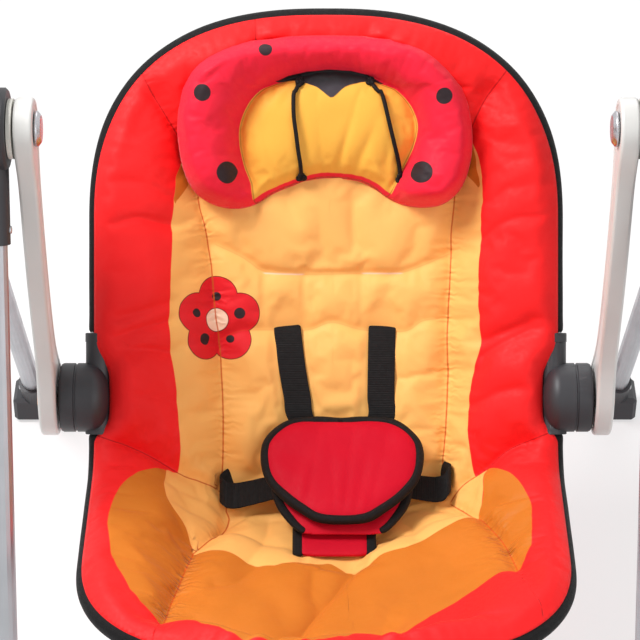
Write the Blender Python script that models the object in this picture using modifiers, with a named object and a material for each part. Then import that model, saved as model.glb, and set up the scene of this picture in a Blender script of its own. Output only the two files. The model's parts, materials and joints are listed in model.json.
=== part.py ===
"""A folding baby swing with a battery drive: two pairs of legs, a pod on each side that holds the swing axle,
two arms that hang from the axles, and a padded seat that reclines between the arms. Metres. +X is to the
right of someone who faces the seat, +Y towards its head end, +Z up. The origin is on the floor under the axle."""

import math

import bmesh
import bpy
from mathutils import Matrix, Vector
from mathutils.bvhtree import BVHTree

# Fits
SEATING_GAP = 0.0003
RUNNING_GAP = 0.0015
SHAFT_PLAY = 0.0003

# Stand
AXLE_HEIGHT = 0.600
FOOT_SPREAD = 0.320
LEG_RADIUS = 0.010
SOCKET_WALL = 0.003
BASE_TUBE_HEIGHT = 0.017
FOOT_WIDTH = 0.046
FOOT_DEPTH = 0.040
FOOT_TOP = 0.014
FOOT_ROUNDING = 0.004
FOOT_SLEEVE = 0.052
LEG_END_CLEARANCE = 0.024

# Pods, the housings at the two ends of the swing axis
POD_HALF_DEPTH = 0.084
POD_HALF_HEIGHT = 0.086
POD_POWER = 2.4
POD_SIDES = 28
POD_INNER_WIDTH = 0.042
POD_OUTER_WIDTH = 0.018
POD_WALL = 0.0025
POD_ROUNDING = 0.008
BOSS_RADIUS = 0.018
BUSH_WALL = 0.003
AXLE_RADIUS = 0.008
AXLE_INSIDE_POD = 0.020
LEG_SOCKET_START = 0.078
LEG_SOCKET_END = 0.135
BUSH_FLANGE_RADIUS = 0.025
BUSH_FLANGE = 0.004
KNUCKLE_RADIUS = 0.034
KNUCKLE_NECK = 0.096
KNUCKLE_TUBE_START = 0.042

# Drive
GEAR_MODULE = 0.00125
PINION_TEETH = 16
SECTOR_TEETH = 56
SECTOR_REACH = 5
GEAR_WIDTH = 0.008
GEAR_BACKLASH = 0.00025
PRESSURE_ANGLE = math.radians(25)
GEAR_LINE = math.radians(45)
SECTOR_HUB = 0.014
PINION_SHAFT = 0.003
MOTOR_RADIUS = 0.0135
MOTOR_LENGTH = 0.026
GEARBOX_RADIUS = 0.017
GEARBOX_LENGTH = 0.008
MOTOR_PLATE = 0.002
MOTOR_PLATE_HALF = 0.020
MOTOR_PLATE_EAR = 0.010
POST_RADIUS = 0.004

# Batteries and controls, in the right pod
CELL_RADIUS = 0.013
CELL_LENGTH = 0.049
CELL_NUB = 0.0012
CELL_CENTRE_Z = -0.043
TRAY_WALL = 0.0012
CONTACT_THICKNESS = 0.0006
DOOR_THICKNESS = 0.0017
DOOR_LAP = 0.003
DOOR_TRAVEL = 0.028
BOARD_THICKNESS = 0.0016
BOARD_LOW = (-0.056, -0.011)
BOARD_HIGH = (0.010, 0.056)
BOARD_POSTS = ((0.003, -0.004), (0.003, 0.048), (-0.028, -0.004))
BUTTON_CIRCLE = 0.048
BUTTON_ANGLES = {"power_button": 175, "speed_button": 140, "music_button": 108}
BUTTON_RADIUS = {"power_button": 0.0085, "speed_button": 0.0065, "music_button": 0.0065}
BUTTON_TRAVEL = 0.0015
BUTTON_PROUD = 0.002
BUTTON_FLANGE = 0.0015
FLANGE_THICKNESS = 0.002
SWITCH_HEIGHT = 0.006
SWITCH_HALF = 0.003
SPEAKER_RADIUS = 0.018
SPEAKER_DEPTH = 0.010
SPEAKER_CENTRE = (0.046, -0.003)
GRILLE_SLOTS = 5
GRILLE_PITCH = 0.0055
GRILLE_SLOT = 0.0022
FOLD_BUTTON_RADIUS = 0.0085
FOLD_BUTTON_TRAVEL = 0.003
FOLD_BUTTON_PLACE = (0.040, 0.038)

# Arms and recline hubs
ARM_LENGTH = 0.296
ARM_THICKNESS = 0.016
ARM_TOP_RADIUS = 0.026
ARM_BOTTOM_RADIUS = 0.034
ARM_WAIST = 0.0135
ARM_BOW = 0.012
ARM_ROUNDING = 0.003
AXLE_HEAD_RADIUS = 0.015
AXLE_HEAD = 0.005
SEAT_HUB_RADIUS = 0.031
SEAT_HUB_INSIDE = 0.010
SEAT_HUB_OUTSIDE = 0.034
SEAT_HUB_DOME = 0.015
RECLINE_PIN_RADIUS = 0.009
RECLINE_PIN_DEPTH = 0.016
RECLINE_BUTTON_RADIUS = 0.0105
RECLINE_BUTTON_TRAVEL = 0.003
RECLINE_BUTTON_PROUD = 0.0035
RECLINE_RECESS = 0.0115

# Seat frame and pad. Distances along the pad are measured from the crease, towards the head
BACK_ANGLE = math.radians(50)
SEAT_ANGLE = math.radians(-15)
SEAT_BEND = 0.0705
CREASE_DROP = 0.106
HUB_SAG = 0.035
RAIL_DROP = 0.064
RAIL_BEND = 0.050
FRONT_REACH = 0.303
FRONT_DROP = 0.024
SEAT_TUBE_RADIUS = 0.008
SEAT_HALF_WIDTH = 0.204
HEAD_LENGTH = 0.341
SEAT_LENGTH = 0.275
HEAD_ROUND = 0.182
FRONT_ROUND = 0.150
OUTLINE_POWER = 2.5
SEAT_SOCKET_WALL = 0.004
SEAT_SOCKET_LENGTH = 0.058
LOWER_SOCKET_LENGTH = 0.033
PAD_DEPTH = 0.026
PAD_SAG_POWER = 2.3
PAD_EDGE_POWER = 6
PAD_EDGE_GAP = 0.0026
PAD_END_TAPER = 0.060
PAD_ROWS = 24
HUB_NOTCH = 0.0055
HUB_NOTCH_REACH = 0.046
BOLSTER_HEIGHT = 0.010
BOLSTER_X = 0.165
BOLSTER_WIDTH = 0.034
CHANNEL_DEPTH = 0.006
CHANNEL_WIDTH = 0.008
CHANNEL_TOP_X = 0.112
CHANNEL_BOTTOM_X = 0.092
TUFT_DEPTH = 0.004
TUFT_WIDTH = 0.009
UPPER_SLOTS = 0.218
LOWER_SLOTS = 0.166

# Pillow, cords and harness
PILLOW_FROM_HEAD = 0.0901
PILLOW_HALF_OUTLINE = (
    (0.000, 0.0715), (0.050, 0.070), (0.079, 0.065), (0.100, 0.0555), (0.117, 0.041),
    (0.127, 0.020), (0.1305, -0.008), (0.128, -0.036), (0.119, -0.058), (0.102, -0.074),
    (0.082, -0.077), (0.064, -0.0725), (0.048, -0.064), (0.027, -0.055), (0.000, -0.050),
)  # fmt: skip
PILLOW_HEIGHT = 0.034
PILLOW_HOLLOW = 0.014
PILLOW_HOLLOW_WIDTH = 0.070
CORD_RADIUS = 0.0019
CORD_TOPS = (-0.022, 0.038)
CORD_ENDS = (-0.023, 0.064)
CORD_TOP_RISE = 0.038
CORD_END_DROP = 0.0445
CORD_GAP = 0.0004
CORD_LIFT = 0.0008
WEBBING_WIDTH = 0.025
WEBBING_THICKNESS = 0.0016
SLOT_SPACING = 0.088
HARNESS_SHIFT = 0.0083
HARNESS_CENTRE_X = 0.0145
HARNESS_TOP_ALONG = 0.081
HARNESS_TOP_HEIGHT = 0.014
HARNESS_BOTTOM_ALONG = -0.065
HARNESS_BOTTOM_HEIGHT = 0.031
HARNESS_HALF_OUTLINE = (
    (0.000, 0.0526), (0.023, 0.0537), (0.049, 0.050), (0.0675, 0.0326), (0.072, 0.0147),
    (0.068, -0.0095), (0.055, -0.0284), (0.037, -0.044), (0.0216, -0.0537), (0.000, -0.056),
)  # fmt: skip
HARNESS_PAD_DEPTH = 0.014
LINER_HALF_OUTLINE = (
    (0.000, 0.010), (0.040, 0.009), (0.060, 0.000), (0.064, -0.014), (0.062, -0.034),
    (0.053, -0.050), (0.047, -0.061), (0.030, -0.065), (0.000, -0.066),
)  # fmt: skip
LINER_DEPTH = 0.008
BUCKLE_WIDTH = 0.054
BUCKLE_LENGTH = 0.052
BUCKLE_DEPTH = 0.013
BUCKLE_BUTTON_RADIUS = 0.011
BUCKLE_BUTTON_TRAVEL = 0.0025
CROTCH_FLAP_WIDTH = 0.073
CROTCH_FLAP_DEPTH = 0.004
CROTCH_SLOT_ALONG = -0.080
WAIST_SLOT_ALONG = 0.014
WAIST_STARTS = {1: 0.111, -1: -0.090}
STRAP_LEAN = {1: 0.04, -1: 0.35}

# Where things are across the swing, worked out from the sizes above
SEAT_HUB_INNER = SEAT_HALF_WIDTH - SEAT_HUB_INSIDE
SEAT_HUB_OUTER = SEAT_HALF_WIDTH + SEAT_HUB_OUTSIDE
ARM_IN = SEAT_HUB_OUTER + RUNNING_GAP
ARM_OUT = ARM_IN + ARM_THICKNESS
BUSH_IN = ARM_OUT + RUNNING_GAP
FLANGE_OUT = BUSH_IN + BUSH_FLANGE
KNUCKLE_IN = FLANGE_OUT + 2 * SEATING_GAP
KNUCKLE_OUT = KNUCKLE_IN + 2 * (LEG_RADIUS + SOCKET_WALL)
FRONT_LEG_X = (KNUCKLE_IN + KNUCKLE_OUT) / 2
POD_IN = KNUCKLE_OUT + RUNNING_GAP
POD_SPLIT = POD_IN + POD_INNER_WIDTH
POD_OUT = POD_SPLIT + POD_OUTER_WIDTH
REAR_LEG_X = POD_IN + POD_INNER_WIDTH / 2
POD_FACE_INSIDE = POD_OUT - POD_WALL
FLANGE_BACK = POD_FACE_INSIDE - SEATING_GAP - FLANGE_THICKNESS
SWITCH_TOP = FLANGE_BACK - BUTTON_TRAVEL - SEATING_GAP
BOARD_OUT = SWITCH_TOP - SWITCH_HEIGHT
BUSH_RADIUS = AXLE_RADIUS + SHAFT_PLAY + BUSH_WALL
SEAT_TUBE_X = SEAT_HALF_WIDTH
PINION_RADIUS = GEAR_MODULE * PINION_TEETH / 2
SECTOR_RADIUS = GEAR_MODULE * SECTOR_TEETH / 2
GEAR_DISTANCE = PINION_RADIUS + SECTOR_RADIUS
GEAR_IN = POD_IN + POD_WALL + RUNNING_GAP
MOTOR_PLATE_IN = GEAR_IN + GEAR_WIDTH + RUNNING_GAP
LEG_LENGTH = math.hypot(FOOT_SPREAD, AXLE_HEIGHT - BASE_TUBE_HEIGHT)
RECLINE_HEIGHT = AXLE_HEIGHT - ARM_LENGTH
FOOT_RADIUS = LEG_RADIUS + SOCKET_WALL + 0.0005

COLOURS = {
    "fabric_red": ((0.90, 0.045, 0.03), 0.85, 0.0),
    "fabric_crimson": ((0.80, 0.02, 0.05), 0.85, 0.0),
    "webbing_black": ((0.012, 0.010, 0.010), 0.75, 0.0),
    "cord_black": ((0.015, 0.013, 0.013), 0.8, 0.0),
    "plastic_charcoal": ((0.035, 0.036, 0.04), 0.45, 0.0),
    "plastic_light": ((0.62, 0.62, 0.60), 0.4, 0.0),
    "plastic_orange": ((0.85, 0.25, 0.04), 0.4, 0.0),
    "tube_grey": ((0.42, 0.43, 0.45), 0.35, 0.6),
    "steel": ((0.55, 0.55, 0.57), 0.3, 1.0),
    "nylon": ((0.75, 0.74, 0.70), 0.5, 0.0),
    "board_green": ((0.03, 0.16, 0.07), 0.5, 0.0),
    "cell_jacket": ((0.10, 0.11, 0.14), 0.35, 0.2),
}


def clear_scene():
    for obj in list(bpy.data.objects):
        bpy.data.objects.remove(obj, do_unlink=True)


def new_collection(name):
    collection = bpy.data.collections.new(name)
    bpy.context.scene.collection.children.link(collection)
    return collection


def material(name):
    found = bpy.data.materials.get(name)
    if found:
        return found
    colour, roughness, metallic = COLOURS[name]
    made = bpy.data.materials.new(name)
    made.use_nodes = True
    shader = made.node_tree.nodes["Principled BSDF"]
    shader.inputs["Base Color"].default_value = (*colour, 1.0)
    shader.inputs["Roughness"].default_value = roughness
    shader.inputs["Metallic"].default_value = metallic
    return made


clear_scene()
PARTS = new_collection("baby_swing")
CUTTERS = new_collection("cutters")


def world_place(obj):
    place = Vector()
    while obj:
        place += obj.location
        obj = obj.parent
    return place


def pivot(name, at, parent=None):
    """The empty of a body, on its joint's axis."""
    empty = bpy.data.objects.new(name, None)
    PARTS.objects.link(empty)
    empty.parent = parent
    empty.location = Vector(at) - world_place(parent)
    empty.empty_display_size = 0.02
    return empty


def finish_mesh(bm, side=1, origin=None):
    """The bmesh as a mesh, mirrored in X for the left side, about an origin in world space."""
    if side < 0:
        bmesh.ops.scale(bm, vec=(-1, 1, 1), verts=bm.verts)
        bmesh.ops.reverse_faces(bm, faces=bm.faces)
    if origin is not None:
        bmesh.ops.translate(bm, vec=-origin, verts=bm.verts)
    mesh = bpy.data.meshes.new("shape")
    bm.to_mesh(mesh)
    bm.free()
    mesh.shade_smooth()
    mesh.set_sharp_from_angle(angle=math.radians(35))
    return mesh


def add(name, bm, body, colour, side=1):
    """A piece whose geometry was built in world space, as a child of its body's empty."""
    obj = bpy.data.objects.new(name, finish_mesh(bm, side, world_place(body)))
    PARTS.objects.link(obj)
    obj.parent = body
    obj.data.materials.append(material(colour))
    return obj


def tool(obj, bm, operation="DIFFERENCE", side=1):
    """Cuts a piece with a shape, or joins the shape to it."""
    other = bpy.data.objects.new(f"{obj.name}.tool", finish_mesh(bm, side))
    CUTTERS.objects.link(other)
    other.hide_render = True
    other.display_type = "WIRE"
    modifier = obj.modifiers.new(operation.title(), "BOOLEAN")
    modifier.object = other
    modifier.operation = operation


def bevel(obj, width, segments=2):
    modifier = obj.modifiers.new("Rounding", "BEVEL")
    modifier.width = width
    modifier.segments = segments
    modifier.limit_method = "ANGLE"
    modifier.angle_limit = math.radians(40)


def put_rod(bm, start, end, radius, sides=24, end_radius=None):
    start, end = Vector(start), Vector(end)
    along = end - start
    turn = along.to_track_quat("Z", "Y").to_matrix().to_4x4()
    bmesh.ops.create_cone(
        bm,
        cap_ends=True,
        segments=sides,
        radius1=radius,
        radius2=radius if end_radius is None else end_radius,
        depth=along.length,
        matrix=Matrix.Translation((start + end) / 2) @ turn,
    )


def rod(start, end, radius, sides=24, end_radius=None):
    bm = bmesh.new()
    put_rod(bm, start, end, radius, sides, end_radius)
    return bm


def put_box(bm, low, high):
    low, high = Vector(low), Vector(high)
    place = Matrix.Translation((low + high) / 2) @ Matrix.Diagonal((*(high - low), 1))
    bmesh.ops.create_cube(bm, size=1, matrix=place)


def box(low, high):
    bm = bmesh.new()
    put_box(bm, low, high)
    return bm


def turned(name, profile, at, body, colour, side=1, steps=32):
    """A turned piece on an axis along X. The profile is (radius, distance along X), from the outer end inwards."""
    bm = bmesh.new()
    corners = [bm.verts.new((radius, 0, along)) for radius, along in profile]
    ends_on_axis = profile[0][0] == 0 and profile[-1][0] == 0
    for first, second in zip(corners, corners[1:] + ([] if ends_on_axis else corners[:1])):
        bm.edges.new((first, second))
    mesh = bpy.data.meshes.new("profile")
    bm.to_mesh(mesh)
    bm.free()
    obj = bpy.data.objects.new(name, mesh)
    PARTS.objects.link(obj)
    obj.parent = body
    obj.location = Vector(at) - world_place(body)
    obj.rotation_euler = (0, side * math.pi / 2, 0)
    screw = obj.modifiers.new("Turn", "SCREW")
    screw.axis = "Z"
    screw.angle = 2 * math.pi
    screw.steps = steps
    screw.render_steps = steps
    screw.use_merge_vertices = True
    screw.merge_threshold = 0.00001
    screw.use_smooth_shade = True
    obj.data.materials.append(material(colour))
    return obj


def tube(name, points, radius, body, colour, resolution=4):
    """A tube or cord along points in world space."""
    origin = world_place(body)
    curve = bpy.data.curves.new(name, "CURVE")
    curve.dimensions = "3D"
    curve.bevel_depth = radius
    curve.bevel_resolution = resolution
    curve.use_fill_caps = True
    spline = curve.splines.new("POLY")
    spline.points.add(len(points) - 1)
    for knot, point in zip(spline.points, points):
        knot.co = (*(Vector(point) - origin), 1.0)
    spline.use_smooth = True
    obj = bpy.data.objects.new(name, curve)
    PARTS.objects.link(obj)
    obj.parent = body
    curve.materials.append(material(colour))
    return obj


def as_mesh(obj):
    """The curve object as a mesh object of the same name, its caps welded."""
    bpy.context.view_layer.update()
    graph = bpy.context.evaluated_depsgraph_get()
    mesh = bpy.data.meshes.new_from_object(obj.evaluated_get(graph))
    bm = bmesh.new()
    bm.from_mesh(mesh)
    bmesh.ops.remove_doubles(bm, verts=bm.verts, dist=0.00001)
    bm.to_mesh(mesh)
    bm.free()
    mesh.shade_smooth()
    mesh.set_sharp_from_angle(angle=math.radians(35))
    name, body, place = obj.name, obj.parent, obj.location.copy()
    turn = obj.rotation_euler.copy()
    bpy.data.objects.remove(obj, do_unlink=True)
    made = bpy.data.objects.new(name, mesh)
    PARTS.objects.link(made)
    made.parent = body
    made.location = place
    made.rotation_euler = turn
    return made


def flat_plate(name, outline, x_from, x_to, body, colour):
    """A flat outline of (y, z) points, extruded from one X to another."""
    origin = world_place(body)
    curve = bpy.data.curves.new(name, "CURVE")
    curve.dimensions = "2D"
    curve.fill_mode = "BOTH"
    curve.extrude = abs(x_to - x_from) / 2
    spline = curve.splines.new("POLY")
    spline.points.add(len(outline) - 1)
    for knot, (y, z) in zip(spline.points, outline):
        knot.co = (-(z - origin.z), y - origin.y, 0, 1)
    spline.use_cyclic_u = True
    obj = bpy.data.objects.new(name, curve)
    PARTS.objects.link(obj)
    obj.parent = body
    obj.location = ((x_from + x_to) / 2 - origin.x, 0, 0)
    obj.rotation_euler = (0, math.pi / 2, 0)
    curve.materials.append(material(colour))
    return as_mesh(obj)


def spread(low, high, count):
    return [low + (high - low) * i / (count - 1) for i in range(count)]


def smoothstep(value):
    value = min(max(value, 0.0), 1.0)
    return value * value * (3 - 2 * value)


def closed_curve(points, per_span):
    """Points on a smooth closed curve through the given points."""
    found = []
    count = len(points)
    for i in range(count):
        before, first, second, after = (Vector(points[(i + k) % count]) for k in (-1, 0, 1, 2))
        for step in range(per_span):
            t = step / per_span
            found.append(
                0.5
                * (
                    2 * first
                    + (second - before) * t
                    + (2 * before - 5 * first + 4 * second - after) * t**2
                    + (3 * first - before - 3 * second + after) * t**3
                )
            )
    return found


def mirrored_outline(half):
    """A whole outline from its right half, which runs from the top middle to the bottom middle."""
    return list(half) + [(-x, y) for x, y in reversed(half[1:-1])]


# The seat's surface. A place on it is X across, and the distance S along it from the crease towards the head.


def heading(angle):
    return Vector((0, math.cos(angle), math.sin(angle)))


def facing(angle):
    return Vector((0, -math.sin(angle), math.cos(angle)))


RECLINE_PIVOT = Vector((0, 0, RECLINE_HEIGHT))


class BentLine:
    """Two straight lines joined by an arc, seen from the side, by the distance from the arc's middle."""

    def __init__(self, corner, front_angle, back_angle, radius):
        self.front_angle = front_angle
        self.back_angle = back_angle
        self.radius = radius
        self.half = radius * (back_angle - front_angle) / 2
        self.tangent = radius * math.tan((back_angle - front_angle) / 2)
        self.front_end = corner - self.tangent * heading(front_angle)
        self.back_end = corner + self.tangent * heading(back_angle)

    def angle(self, s):
        share = min(max((s + self.half) / (2 * self.half), 0.0), 1.0)
        return self.front_angle + share * (self.back_angle - self.front_angle)

    def point(self, s):
        if s > self.half:
            return self.back_end + (s - self.half) * heading(self.back_angle)
        if s < -self.half:
            return self.front_end + (s + self.half) * heading(self.front_angle)
        centre = self.front_end + self.radius * facing(self.front_angle)
        return centre - self.radius * facing(self.angle(s))


CREASE_CORNER = RECLINE_PIVOT - HUB_SAG * facing(BACK_ANGLE) - CREASE_DROP * heading(BACK_ANGLE)
MIDDLE = BentLine(CREASE_CORNER, SEAT_ANGLE, BACK_ANGLE, SEAT_BEND)
HUB_ALONG = MIDDLE.half + CREASE_DROP - MIDDLE.tangent
HEAD_ALONG = HUB_ALONG + HEAD_LENGTH
PILLOW_ALONG = HEAD_ALONG - PILLOW_FROM_HEAD
FRONT_ALONG = -SEAT_LENGTH

RAIL_CORNER = RECLINE_PIVOT - RAIL_DROP * heading(BACK_ANGLE)
RAIL_FRONT = RECLINE_PIVOT + Vector((0, -FRONT_REACH, -FRONT_DROP))
RAIL_RUN = RAIL_CORNER - RAIL_FRONT
RAIL = BentLine(RAIL_CORNER, math.atan2(RAIL_RUN.z, RAIL_RUN.y), BACK_ANGLE, RAIL_BEND)
RAIL_HUB = RAIL.half + RAIL_DROP - RAIL.tangent
RAIL_END = -(RAIL.half + RAIL_RUN.length - RAIL.tangent)


def rail_point(s):
    """The side rails' centre line, in the middle plane, at a distance along the pad."""
    if s >= HUB_ALONG:
        return RAIL.point(RAIL_HUB + s - HUB_ALONG)
    share = (HUB_ALONG - s) / (HUB_ALONG - FRONT_ALONG)
    return RAIL.point(RAIL_HUB - share * (RAIL_HUB - RAIL_END))


def middle_point(s):
    """The pad's front surface on its centre line."""
    point = MIDDLE.point(s)
    if s > HUB_ALONG:
        share = (s - HUB_ALONG) / (HEAD_ALONG - HUB_ALONG)
        point = point + HUB_SAG * share**2 * facing(BACK_ANGLE)
    return point


def outline_half_width(s, inset=0.0):
    """Half the width of the seat's outline, drawn in by the inset on all sides."""
    half = SEAT_HALF_WIDTH - inset
    for end, round_length, way in ((HEAD_ALONG, HEAD_ROUND, 1), (FRONT_ALONG, FRONT_ROUND, -1)):
        depth = round_length - way * (end - s)
        if depth > 0:
            share = min(depth / (round_length - inset), 1.0)
            half = min(half, (SEAT_HALF_WIDTH - inset) * (1 - share**OUTLINE_POWER) ** (1 / OUTLINE_POWER))
    return half


PAD_INSET = SEAT_TUBE_RADIUS + PAD_EDGE_GAP


def pad_half_width(s):
    notch = HUB_NOTCH * math.exp(-(((s - HUB_ALONG) / HUB_NOTCH_REACH) ** 4))
    return outline_half_width(s, PAD_INSET) - notch


def mid_surface(x, s):
    """The sheet half way through the pad: on the rails at its sides, and sagging between them."""
    across = min(abs(x) / SEAT_HALF_WIDTH, 1.0)
    sag = middle_point(s) - facing(MIDDLE.angle(s)) * PAD_DEPTH / 2 - rail_point(s)
    ends = smoothstep((s - FRONT_ALONG) / PAD_END_TAPER) * smoothstep((HEAD_ALONG - s) / PAD_END_TAPER)
    point = rail_point(s) + sag * ends * (1 - across**PAD_SAG_POWER)
    return Vector((x, point.y, point.z))


def surface_normal(x, s):
    step = 0.002
    across = mid_surface(x + step, s) - mid_surface(x - step, s)
    along = mid_surface(x, s + step) - mid_surface(x, s - step)
    return across.cross(along).normalized()


def channel_x(s):
    share = min(max((s - WAIST_SLOT_ALONG) / (PILLOW_ALONG - WAIST_SLOT_ALONG), 0.0), 1.0)
    return CHANNEL_BOTTOM_X + share * (CHANNEL_TOP_X - CHANNEL_BOTTOM_X)


def relief(x, s):
    """The height of the bolsters, and the depth of the sewn channels and tufted lines, over the plain sheet."""
    half = pad_half_width(s)
    spot = abs(x) * (SEAT_HALF_WIDTH - PAD_INSET) / max(half, 0.001)
    height = BOLSTER_HEIGHT * math.exp(-(((spot - BOLSTER_X) / BOLSTER_WIDTH) ** 2))
    height -= CHANNEL_DEPTH * math.exp(-(((spot - channel_x(s)) / CHANNEL_WIDTH) ** 2))
    if spot < channel_x(s):
        for line in (UPPER_SLOTS, LOWER_SLOTS):
            height -= TUFT_DEPTH * math.exp(-(((s - line) / TUFT_WIDTH) ** 2))
    return height


def on_seat(x, s, height):
    """A point at a height over the pad's front surface."""
    return mid_surface(x, s) + surface_normal(x, s) * (PAD_DEPTH / 2 + height)


def sewn_form(across, along, place):
    """A closed cushion. place(u, v, face) gives a point of its front (face 1), back (-1) or sewn edge (0)."""
    bm = bmesh.new()
    last_u, last_v = len(across) - 1, len(along) - 1
    sheets = {1: {}, -1: {}}
    for i, u in enumerate(across):
        for j, v in enumerate(along):
            if i in (0, last_u) or j in (0, last_v):
                sheets[1][i, j] = sheets[-1][i, j] = bm.verts.new(place(u, v, 0))
            else:
                for face in (1, -1):
                    sheets[face][i, j] = bm.verts.new(place(u, v, face))
    for face, sheet in sheets.items():
        for i in range(last_u):
            for j in range(last_v):
                ring = [sheet[i, j], sheet[i + 1, j], sheet[i + 1, j + 1], sheet[i, j + 1]]
                if face < 0 and i in (0, last_u - 1) and j in (0, last_v - 1):
                    corner = (0 if i == 0 else last_u, 0 if j == 0 else last_v)
                    ring = rotated_from(ring, sheet[corner])
                bm.faces.new(ring if face > 0 else ring[::-1])
    return bm


def rotated_from(ring, vertex):
    start = ring.index(vertex)
    return ring[start:] + ring[:start]


def polar_outline(half_outline, per_span=6):
    """The radius of a smooth closed outline about its own origin, as a function of the angle."""
    curve = closed_curve(mirrored_outline(half_outline), per_span)
    polar = sorted((math.atan2(p.y, p.x), p.length) for p in curve)
    polar = [(polar[-1][0] - 2 * math.pi, polar[-1][1])] + polar + [(polar[0][0] + 2 * math.pi, polar[0][1])]

    def radius(angle):
        for (low, first), (high, second) in zip(polar, polar[1:]):
            if low <= angle <= high:
                return first + (second - first) * (angle - low) / (high - low)
        return polar[0][1]

    return radius


def in_outline(radius_at, u, v):
    """A point of the unit square carried to the outline, and how far out it lies, from 0 to 1."""
    a = u * math.sqrt(1 - v * v / 2)
    b = v * math.sqrt(1 - u * u / 2)
    out = min(math.hypot(a, b), 1.0)
    angle = math.atan2(b, a)
    reach = radius_at(angle) * out
    return reach * math.cos(angle), reach * math.sin(angle), out


def ribbon(points, width_ways, width, thickness):
    """A flat strap through the points, its width along the given direction at each."""
    bm = bmesh.new()
    rings = []
    for i, point in enumerate(points):
        ahead = points[min(i + 1, len(points) - 1)] - points[max(i - 1, 0)]
        wide = width_ways[i].normalized()
        through = wide.cross(ahead).normalized()
        corners = ((-1, -1), (1, -1), (1, 1), (-1, 1))
        rings.append([bm.verts.new(point + wide * width / 2 * a + through * thickness / 2 * b) for a, b in corners])
    for ring, after in zip(rings, rings[1:]):
        for k in range(4):
            bm.faces.new((ring[k], after[k], after[(k + 1) % 4], ring[(k + 1) % 4]))
    bm.faces.new(rings[0])
    bm.faces.new(rings[-1][::-1])
    bmesh.ops.recalc_face_normals(bm, faces=bm.faces)
    return bm


# Stand


def leg_point(x, way, distance):
    """A point on a leg's centre line. way is 1 for the rear legs and -1 for the front legs."""
    down = Vector((0, way * FOOT_SPREAD, BASE_TUBE_HEIGHT - AXLE_HEIGHT)).normalized()
    return Vector((x, 0, AXLE_HEIGHT)) + down * distance


def leg_set(prefix, x, way, start, body):
    """One pair of legs with its base tube and the two feet that join them."""
    ends = LEG_LENGTH - LEG_END_CLEARANCE
    for side, word in ((1, "right"), (-1, "left")):
        points = [leg_point(side * x, way, start), leg_point(side * x, way, ends)]
        tube(f"{prefix}_leg_{word}", points, LEG_RADIUS, body, "tube_grey", resolution=6)
        foot(f"{prefix}_foot_{word}", x, way, body, side)
    y = way * FOOT_SPREAD
    reach = x - FOOT_WIDTH / 4
    ends = [(-reach, y, BASE_TUBE_HEIGHT), (reach, y, BASE_TUBE_HEIGHT)]
    tube(f"{prefix}_base_tube", ends, LEG_RADIUS, body, "tube_grey", resolution=6)


def foot(name, x, way, body, side):
    """A moulded foot: a rounded block with one sleeve up the leg and one along the base tube."""
    y = way * FOOT_SPREAD
    centre = Vector((x, y, BASE_TUBE_HEIGHT))
    low = (x - FOOT_WIDTH / 2, y - FOOT_DEPTH / 2, 0)
    high = (x + FOOT_WIDTH / 2, y + FOOT_DEPTH / 2, BASE_TUBE_HEIGHT + FOOT_TOP)
    obj = add(name, box(low, high), body, "plastic_charcoal", side)
    bevel(obj, FOOT_ROUNDING, 1)
    up = leg_point(x, way, LEG_LENGTH - FOOT_SLEEVE)
    tool(obj, rod(centre, up, FOOT_RADIUS, 20), "UNION", side)
    inward = centre - Vector((FOOT_SLEEVE, 0, 0))
    tool(obj, rod(centre, inward, FOOT_RADIUS, 20), "UNION", side)
    bore = LEG_RADIUS + SHAFT_PLAY
    leg_end = leg_point(x, way, LEG_LENGTH - LEG_END_CLEARANCE + SEATING_GAP)
    tool(obj, rod(leg_end, leg_point(x, way, LEG_LENGTH - 2 * FOOT_SLEEVE), bore, 16), "DIFFERENCE", side)
    base_end = centre - Vector((FOOT_WIDTH / 4 - SEATING_GAP, 0, 0))
    tool(obj, rod(base_end, centre - Vector((2 * FOOT_SLEEVE, 0, 0)), bore, 16), "DIFFERENCE", side)


# Pods


def pod_point(angle, shrink=0.0):
    """A point of the pod's outline as (y, z) from the axle, drawn in by shrink."""
    c, s = math.cos(angle), math.sin(angle)
    out = (abs(c) ** POD_POWER + abs(s) ** POD_POWER) ** (-1 / POD_POWER)
    return (POD_HALF_DEPTH - shrink) * c * out, (POD_HALF_HEIGHT - shrink) * s * out


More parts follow.
